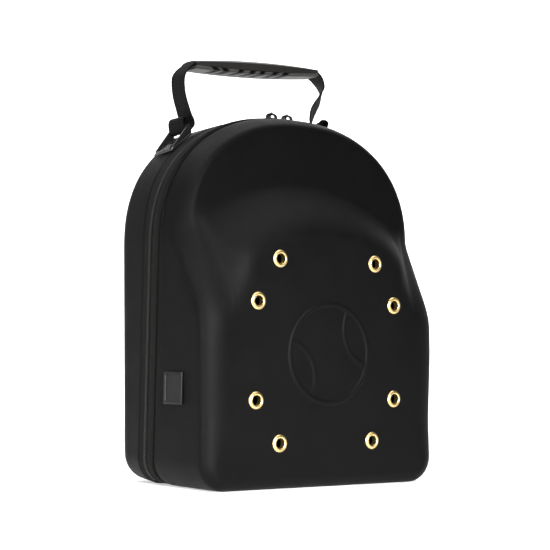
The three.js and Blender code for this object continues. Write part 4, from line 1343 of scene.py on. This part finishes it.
def strap_route(seat, hand, tail, tail_length, strap):
    """The webbing's course on one side: its tail, its turn round the bar, and its climb to the grip."""
    bar_x, bar_z = -hand * seat.bar.x, seat.bar.z
    end_x, end_z = grip_end(seat, hand)
    height = end_z - bar_z
    turn = BAR_SIZE / 2 + WEBBING_EASE + WEBBING_THICK / 2

    def point(length, rise, out, twist, reach=0.0):
        slant = 1 - smooth(rise * length, 3, 14)
        return [bar_x + hand * out * length + rise * reach, bar_z + rise * length, twist, slant, hand]
    angles = [math.radians(angle) for angle in (0, -36, -72, -108, -135)]
    ring = [point(turn, math.sin(angle), math.cos(angle), 0) for angle in angles]
    climb = [point(height, *row, reach=end_x - bar_x) for row in strap]
    return [point(tail_length, *row) for row in tail] + ring + climb


def webbing(sizes):
    """One ribbed strap, from its folded left end through the grip to its folded right end."""
    seat = AnchorSeat()
    left = strap_route(seat, -1, TAIL_LEFT, TAIL_LENGTH_LEFT, STRAP_LEFT)
    right = strap_route(seat, 1, TAIL_RIGHT, TAIL_LENGTH_RIGHT, STRAP_RIGHT)
    (x0, z0), (x1, z1) = grip_end(seat, -1), grip_end(seat, 1)
    through = [[lerp(x0, x1, share), lerp(z0, z1, share), 0.0, 0.0, 2 * share - 1]
               for share in (0.0, 0.05, 0.3, 0.5, 0.7, 0.95, 1.0)]
    spacing = sizes.rib_pitch / MM / ROWS_PER_RIB
    samples = spline(left + through + right[::-1], spacing)
    rows = [strap_section(seat, samples, index, sizes.rib_depth / MM) for index in range(len(samples))]
    obj = drawn_out("handle_strap", rows, fill_ends=True)
    lengths = [index * spacing * MM for index in range(len(rows))]
    outline = [(side * WEBBING_WIDTH / 2, up * WEBBING_THICK / 2) for side, up in STRAP_SECTION]
    lay_map(obj, lengths, widths_of(outline))
    return dress(obj, "webbing_cloth", ["handle_webbing"], angle=75.0)


def strap_section(seat, samples, index, rib_depth):
    """The strap's outline at one sample, thinner between its ribs, and along the bar near an anchor."""
    x, z, twist, slant, hand = samples[index]
    ahead = samples[min(index + 1, len(samples) - 1)]
    behind = samples[max(index - 1, 0)]
    along = Vector((ahead[0] - behind[0], 0, ahead[1] - behind[1])).normalized()
    angle = math.radians(twist)
    level = Vector((math.sin(angle), math.cos(angle), 0))
    across = level.lerp(seat.bar_direction(-1 if hand < 0 else 1), slant)
    across = (across + along * (slant - 1) * across.dot(along)).normalized()
    face = along.cross(across).normalized()
    sunk = rib_depth * (0.5 - 0.5 * math.cos(2 * math.pi * index / ROWS_PER_RIB))
    row = []
    for side, up in STRAP_SECTION:
        out = up * (WEBBING_THICK / 2 - (sunk if abs(up) > 0.95 else 0.3 * sunk))
        place = Vector((x, HANDLE_Y, z)) + across * side * (WEBBING_WIDTH / 2 - 0.25 * sunk) + face * out
        row.append(at(*place))
    return row


# Grip

PARTING = -(WEBBING_THICK / 2 + 0.3)
PARTING_GAP = 0.3
PARTING_SAG = 2.0  # how much lower the parting line hangs in the grip's middle
GRIP_WAIST = 1.5  # how much less the grip's half width is at its ends
PAD_EDGE = (3.4, 1.68)  # height of the pad's edge over the parting at its ends, and what its middle adds
PAD_CROWN = (0.8, 1.12)  # the same of its crown over its edge
GRIP_ROWS = 170
BODY_DEPTH = 2.8
GROOVE_HALF_WIDTH = 2.9
BENT_GROOVE_HALF_WIDTH = 3.3
GROOVE_LEAN = 5.0
GROOVE_BOW = 3.4
GROOVE_EDGE = (0.7, 0.5)  # how far a groove's edge slopes inside its half width and outside it
GROOVE_END = (0.2, 0.3)
UNDER_SHARE = 0.63  # share of a groove's length that lies under the grip, before it climbs the near side

# Each finger groove's middle along the grip, and its bend: 1 and -1 bow to the right and left, 0 leans
GROOVES = [(-44.0, 1), (-34.0, 1), (-21.5, 0), (-9.5, 0), (1.0, 0), (14.5, -1), (26.0, -1)]

# Half of the body's outline from the parting to the middle of its underside, as shares of its half width
# and of its height
BODY_SECTION = [(-1, 1.0), (-1, 0.86), (-1, 0.72), (-1, 0.58), (-0.985, 0.45), (-0.95, 0.3), (-0.9, 0.16),
                (-0.83, 0.05), (-0.74, 0.0), (-0.6, 0.0), (-0.45, 0.0), (-0.3, 0.0), (-0.15, 0.0), (0.0, 0.0)]


def grip_bow(x):
    """1 in the grip's middle and 0 at its ends."""
    return 1 - (2 * x / GRIP_LENGTH) ** 2


def grip_half_width(bow):
    return GRIP_WIDTH / 2 - GRIP_WAIST * (1 - bow)


def parting_level(bow):
    return PARTING - PARTING_SAG * bow


def grip_matrix():
    seat = AnchorSeat()
    place = at(GRIP_X, HANDLE_Y, seat.bar.z + GRIP_RISE)
    return Matrix.Translation(place) @ Matrix.Rotation(-GRIP_TILT, 4, "Y")


def grip_places():
    """Places along the grip, closer together at its ends."""
    shares = [0.5 - 0.5 * math.cos(math.pi * index / GRIP_ROWS) for index in range(GRIP_ROWS + 1)]
    return [(share - 0.5) * GRIP_LENGTH for share in shares]


def pad_section(x):
    """The pad's outline at a place: a crown over a slot for the webbing."""
    bow = grip_bow(x)
    side = grip_half_width(bow)
    low = parting_level(bow)
    edge = PARTING + PAD_EDGE[0] + PAD_EDGE[1] * bow
    top = edge + PAD_CROWN[0] + PAD_CROWN[1] * bow
    slot, roof = WEBBING_WIDTH / 2 + 0.3, WEBBING_THICK / 2 + 0.3
    crown = []
    for step in range(17):
        across = -1 + step / 8
        crown.append((across * side, lerp(top, edge - 0.9, abs(across) ** 3.2)))
    before = [(-side, low + 0.3), (-side, lerp(low, edge, 0.6))]
    behind = [(side, lerp(low, edge, 0.6)), (side, low + 0.3)]
    under = [(side - 0.3, low), (slot, low), (slot, roof), (-slot, roof), (-slot, low), (-side + 0.3, low)]
    return before + crown + behind + under


def groove_mark(x, rise):
    """1 in a finger groove and 0 beside it. Rise is 0 under the grip's far edge and 1 at the parting line."""
    deepest = 0.0
    for middle, bend in GROOVES:
        centre = middle + GROOVE_LEAN * (rise - 0.5)
        half = GROOVE_HALF_WIDTH
        if bend:
            centre = middle - bend * GROOVE_BOW * (2 * rise - 1) ** 2
            half = BENT_GROOVE_HALF_WIDTH
        inside = 1 - smooth(abs(x - centre), half - GROOVE_EDGE[0], half + GROOVE_EDGE[1])
        deepest = max(deepest, inside * smooth(rise, *GROOVE_END))
    return deepest


def grip_body_rows(depth):
    """The body's rows in the grip's own frame, and how far each place is in a groove."""
    rows, marks = [], []
    section = BODY_SECTION + [(-across, rise) for across, rise in reversed(BODY_SECTION[:-1])]
    for x in grip_places():
        bow = grip_bow(x)
        side = grip_half_width(bow)
        high = parting_level(bow) - PARTING_GAP
        row, mark = [], []
        for across, rise in section:
            climb = rise if across < 0 else 0.0
            wrapped = climb * (1 - UNDER_SHARE) + UNDER_SHARE * (1 - (1 + across) / 2)
            deep = groove_mark(x, wrapped)
            inward = depth * deep
            out = across * (side - inward * (abs(across) > 0.5))
            row.append(Vector((x, out, lerp(high - BODY_DEPTH, high, rise) + inward * (1 - rise) * 0.8)) * MM)
            mark.append(deep)
        rows.append(row)
        marks.append(mark)
    return rows, marks


def grip(sizes):
    """The smooth pad on top and the grooved rubber body under the fingers."""
    matrix = grip_matrix()
    rows = [[matrix @ (Vector((x, y, z)) * MM) for y, z in pad_section(x)] for x in grip_places()]
    pad = drawn_out("grip_top_pad", rows, fill_ends=True)
    dress(pad, "pad_plastic", ["grip_pad"], angle=40.0)
    rows, marks = grip_body_rows(sizes.groove / MM)
    body = drawn_out("grip_rubber_body", [[matrix @ point for point in row] for row in rows], fill_ends=True)
    # The groove mark also paints shade into the grooves, through the grip's rubber.
    body.data.attributes.new("groove", "FLOAT", "POINT")
    station, level, groove = (body.data.attributes[name].data for name in ("station", "level", "groove"))
    for index in range(len(body.data.vertices)):
        groove[index].value = marks[level[index].value][station[index].value]
    dress(body, "grip_rubber", ["grip_body"], angle=50.0)


# Stage

# The photograph's camera: angles in degrees, lengths of its picture in pixels, and its place in millimetres
CAMERA_YAW = 36.916
CAMERA_PITCH = 1.843
CAMERA_ROLL = 0.696
PICTURE_SIZE = 550
FOCAL_PIXELS = 1523.94
SHIFT_PIXELS = (-9.133, 28.373)
CAMERA_PLACE = (-771.1, -1046.4, 108.7)
SENSOR_WIDTH = 36

# The floor and the wall that it curves up into, in metres
FLOOR_SIZE = (10.0, 6.0, 1.0)
FLOOR_MIDDLE = (0.0, -1.2, 0.0)
WALL_BEND = 0.8
WALL_HEIGHT = 3.0
BEND_STEPS = 16

# Each light's name in the settings, its place and target in metres, its size, and its spread in degrees
LIGHTS = (
    ("top", (0.1, 0.3, 1.9), (0, 0, 0), (2.2, 2.0), 180),
    ("front", (-0.6, -1.6, 0.5), (-0.04, -0.06, 0.08), (0.25, 0.25), 20),
    ("graze", (-0.9, -0.35, 0.15), (0, -0.08, 0.1), (0.2, 0.3), 60),
    ("shoulder", (-0.9, -0.2, 1.3), (-0.05, -0.06, 0.19), (0.3, 0.3), 20),
    ("back", (-1.4, 0.9, 0.7), (0, 0, 0.15), (0.6, 1.0), 180),
    ("wall", (0.5, 0.9, 1.7), (1.55, 2.0, 0.4), (1.6, 0.5), 120),
)


def stage(settings):
    """A plain pale sweep, soft lights and the camera."""
    floor = sweep()
    material, tree, shader = start_material("floor_paper", 0.9, specular=0.1)
    shader.inputs["Base Color"].default_value = (*settings.floor, 1.0)
    shader.inputs["Emission Color"].default_value = (1, 1, 1, 1)
    shader.inputs["Emission Strength"].default_value = settings.glow
    floor.data.materials.append(material)
    room(settings.world)
    for name, place, target, size, spread in LIGHTS:
        soft_light(name + "_light", place, target, size, getattr(settings, name), spread)
    camera()
    bpy.context.scene.view_settings.view_transform = "Standard"


def room(strength):
    world = bpy.context.scene.world or bpy.data.worlds.new("room")
    bpy.context.scene.world = world
    world.use_nodes = True
    background = world.node_tree.nodes["Background"]
    background.inputs["Color"].default_value = (1, 1, 1, 1)
    background.inputs["Strength"].default_value = strength


def sweep():
    """A floor that curves up into a plain wall behind the case, square to the camera."""
    clear_selection()
    bpy.ops.mesh.primitive_plane_add(size=1.0)
    floor = bpy.context.object
    floor.name = "floor"
    floor.scale = FLOOR_SIZE
    floor.location = FLOOR_MIDDLE
    settle(floor)
    mesh = in_edit(floor, "EDGE")
    far = max(mesh.edges, key=lambda edge: sum(vert.co.y for vert in edge.verts))
    far.select = True
    bmesh.update_edit_mesh(floor.data)
    turns = [math.pi / 2 * step / BEND_STEPS for step in range(BEND_STEPS + 1)]
    path = [(WALL_BEND * math.sin(turn), WALL_BEND * (1 - math.cos(turn))) for turn in turns]
    path.append((WALL_BEND, WALL_HEIGHT))
    for (y0, z0), (y1, z1) in zip(path, path[1:]):
        bpy.ops.mesh.extrude_edges_move(TRANSFORM_OT_translate={"value": (0, y1 - y0, z1 - z0)})
    leave_edit(floor)
    floor.rotation_euler = (0, 0, -math.radians(CAMERA_YAW))
    settle(floor)
    bpy.ops.object.shade_smooth()
    return floor


def soft_light(name, place, target, size, energy, spread):
    light = bpy.data.lights.new(name, "AREA")
    light.shape = "RECTANGLE"
    light.size, light.size_y = size
    light.energy = energy
    light.spread = math.radians(spread)
    obj = bpy.data.objects.new(name, light)
    bpy.context.scene.collection.objects.link(obj)
    obj.location = place
    obj.rotation_euler = (Vector(target) - Vector(place)).to_track_quat("-Z", "Y").to_euler()


def camera():
    """The camera at the photograph's place."""
    yaw, pitch, roll = (math.radians(angle) for angle in (CAMERA_YAW, CAMERA_PITCH, CAMERA_ROLL))
    forward = Vector((math.sin(yaw) * math.cos(pitch), math.cos(yaw) * math.cos(pitch), math.sin(pitch)))
    level = Vector((math.cos(yaw), -math.sin(yaw), 0))
    upright = level.cross(forward)
    right = level * math.cos(roll) + upright * math.sin(roll)
    up = upright * math.cos(roll) - level * math.sin(roll)
    data = bpy.data.cameras.new("camera")
    data.sensor_width = SENSOR_WIDTH
    data.lens = FOCAL_PIXELS / PICTURE_SIZE * SENSOR_WIDTH
    data.shift_x, data.shift_y = (pixels / PICTURE_SIZE for pixels in SHIFT_PIXELS)
    data.clip_end = 50
    obj = bpy.data.objects.new("camera", data)
    bpy.context.scene.collection.objects.link(obj)
    basis = Matrix((right, up, -forward)).transposed().to_4x4()
    obj.matrix_world = Matrix.Translation(at(*CAMERA_PLACE)) @ basis
    bpy.context.scene.camera = obj


# Operators and the sidebar

class CAPCASE_OT_front_shell(bpy.types.Operator):
    """Builds the bulging front shell with its relief and holes"""
    bl_idname = "cap_case.front_shell"
    bl_label = "Front shell"
    bl_options = {"REGISTER", "UNDO"}

    def execute(self, context):
        front_shell(context.scene.cap_case_sizes)
        return {"FINISHED"}


class CAPCASE_OT_back_shell(bpy.types.Operator):
    """Builds the back shell"""
    bl_idname = "cap_case.back_shell"
    bl_label = "Back shell"
    bl_options = {"REGISTER", "UNDO"}

    def execute(self, context):
        back_shell()
        return {"FINISHED"}


class CAPCASE_OT_zip(bpy.types.Operator):
    """Builds the tapes, the coil, the hinge cloth and the stitches"""
    bl_idname = "cap_case.zip"
    bl_label = "Zip"
    bl_options = {"REGISTER", "UNDO"}

    def execute(self, context):
        zip_parts(context.scene.cap_case_sizes)
        return {"FINISHED"}


class CAPCASE_OT_eyelets(bpy.types.Operator):
    """Builds the eight brass eyelets"""
    bl_idname = "cap_case.eyelets"
    bl_label = "Eyelets"
    bl_options = {"REGISTER", "UNDO"}

    def execute(self, context):
        eyelets()
        return {"FINISHED"}


class CAPCASE_OT_side_patch(bpy.types.Operator):
    """Builds the rubber patch on the left side"""
    bl_idname = "cap_case.side_patch"
    bl_label = "Side patch"
    bl_options = {"REGISTER", "UNDO"}

    def execute(self, context):
        side_patch()
        return {"FINISHED"}


class CAPCASE_OT_sliders(bpy.types.Operator):
    """Builds the two zip sliders"""
    bl_idname = "cap_case.sliders"
    bl_label = "Sliders"
    bl_options = {"REGISTER", "UNDO"}

    def execute(self, context):
        sliders()
        return {"FINISHED"}


class CAPCASE_OT_pulls(bpy.types.Operator):
    """Builds the two zip pulls"""
    bl_idname = "cap_case.pulls"
    bl_label = "Pulls"
    bl_options = {"REGISTER", "UNDO"}

    def execute(self, context):
        pulls()
        return {"FINISHED"}


class CAPCASE_OT_anchors(bpy.types.Operator):
    """Builds the two handle anchors"""
    bl_idname = "cap_case.anchors"
    bl_label = "Anchors"
    bl_options = {"REGISTER", "UNDO"}

    def execute(self, context):
        anchors()
        return {"FINISHED"}


class CAPCASE_OT_webbing(bpy.types.Operator):
    """Builds the handle's strap"""
    bl_idname = "cap_case.webbing"
    bl_label = "Webbing"
    bl_options = {"REGISTER", "UNDO"}

    def execute(self, context):
        webbing(context.scene.cap_case_sizes)
        return {"FINISHED"}


class CAPCASE_OT_grip(bpy.types.Operator):
    """Builds the grip's pad and body"""
    bl_idname = "cap_case.grip"
    bl_label = "Grip"
    bl_options = {"REGISTER", "UNDO"}

    def execute(self, context):
        grip(context.scene.cap_case_sizes)
        return {"FINISHED"}


class CAPCASE_OT_stage(bpy.types.Operator):
    """Builds the floor, the lights and the camera"""
    bl_idname = "cap_case.stage"
    bl_label = "Stage"
    bl_options = {"REGISTER", "UNDO"}

    def execute(self, context):
        stage(context.scene.cap_case_stage)
        return {"FINISHED"}


OPERATORS = (CAPCASE_OT_front_shell, CAPCASE_OT_back_shell, CAPCASE_OT_zip, CAPCASE_OT_eyelets,
             CAPCASE_OT_side_patch, CAPCASE_OT_sliders, CAPCASE_OT_pulls, CAPCASE_OT_anchors,
             CAPCASE_OT_webbing, CAPCASE_OT_grip, CAPCASE_OT_stage)


class CAPCASE_PT_panel(bpy.types.Panel):
    """Lists the case's settings and the steps that build it"""
    bl_label = "Cap carrier case"
    bl_idname = "CAPCASE_PT_panel"
    bl_space_type = "VIEW_3D"
    bl_region_type = "UI"
    bl_category = "Cap case"

    def draw(self, context):
        for owner, group in GROUPS:
            box = self.layout.box()
            for name in group.__annotations__:
                box.prop(getattr(context.scene, owner), name)
        for entry in OPERATORS:
            self.layout.operator(entry.bl_idname)


GROUPS = (("cap_case_sizes", CapCaseSizes), ("cap_case_colours", CapCaseColours),
          ("cap_case_stage", CapCaseStage))


def register():
    for name, group in GROUPS:
        bpy.utils.register_class(group)
        setattr(bpy.types.Scene, name, bpy.props.PointerProperty(type=group))
    for entry in (*OPERATORS, CAPCASE_PT_panel):
        bpy.utils.register_class(entry)


def unregister():
    for entry in (CAPCASE_PT_panel, *reversed(OPERATORS)):
        bpy.utils.unregister_class(entry)
    for name, group in reversed(GROUPS):
        delattr(bpy.types.Scene, name)
        bpy.utils.unregister_class(group)


def main():
    register()
    for entry in OPERATORS:
        step = entry.bl_idname.split(".")[1]
        getattr(bpy.ops.cap_case, step)()
    clear_selection()


if __name__ == "__main__":
    main()
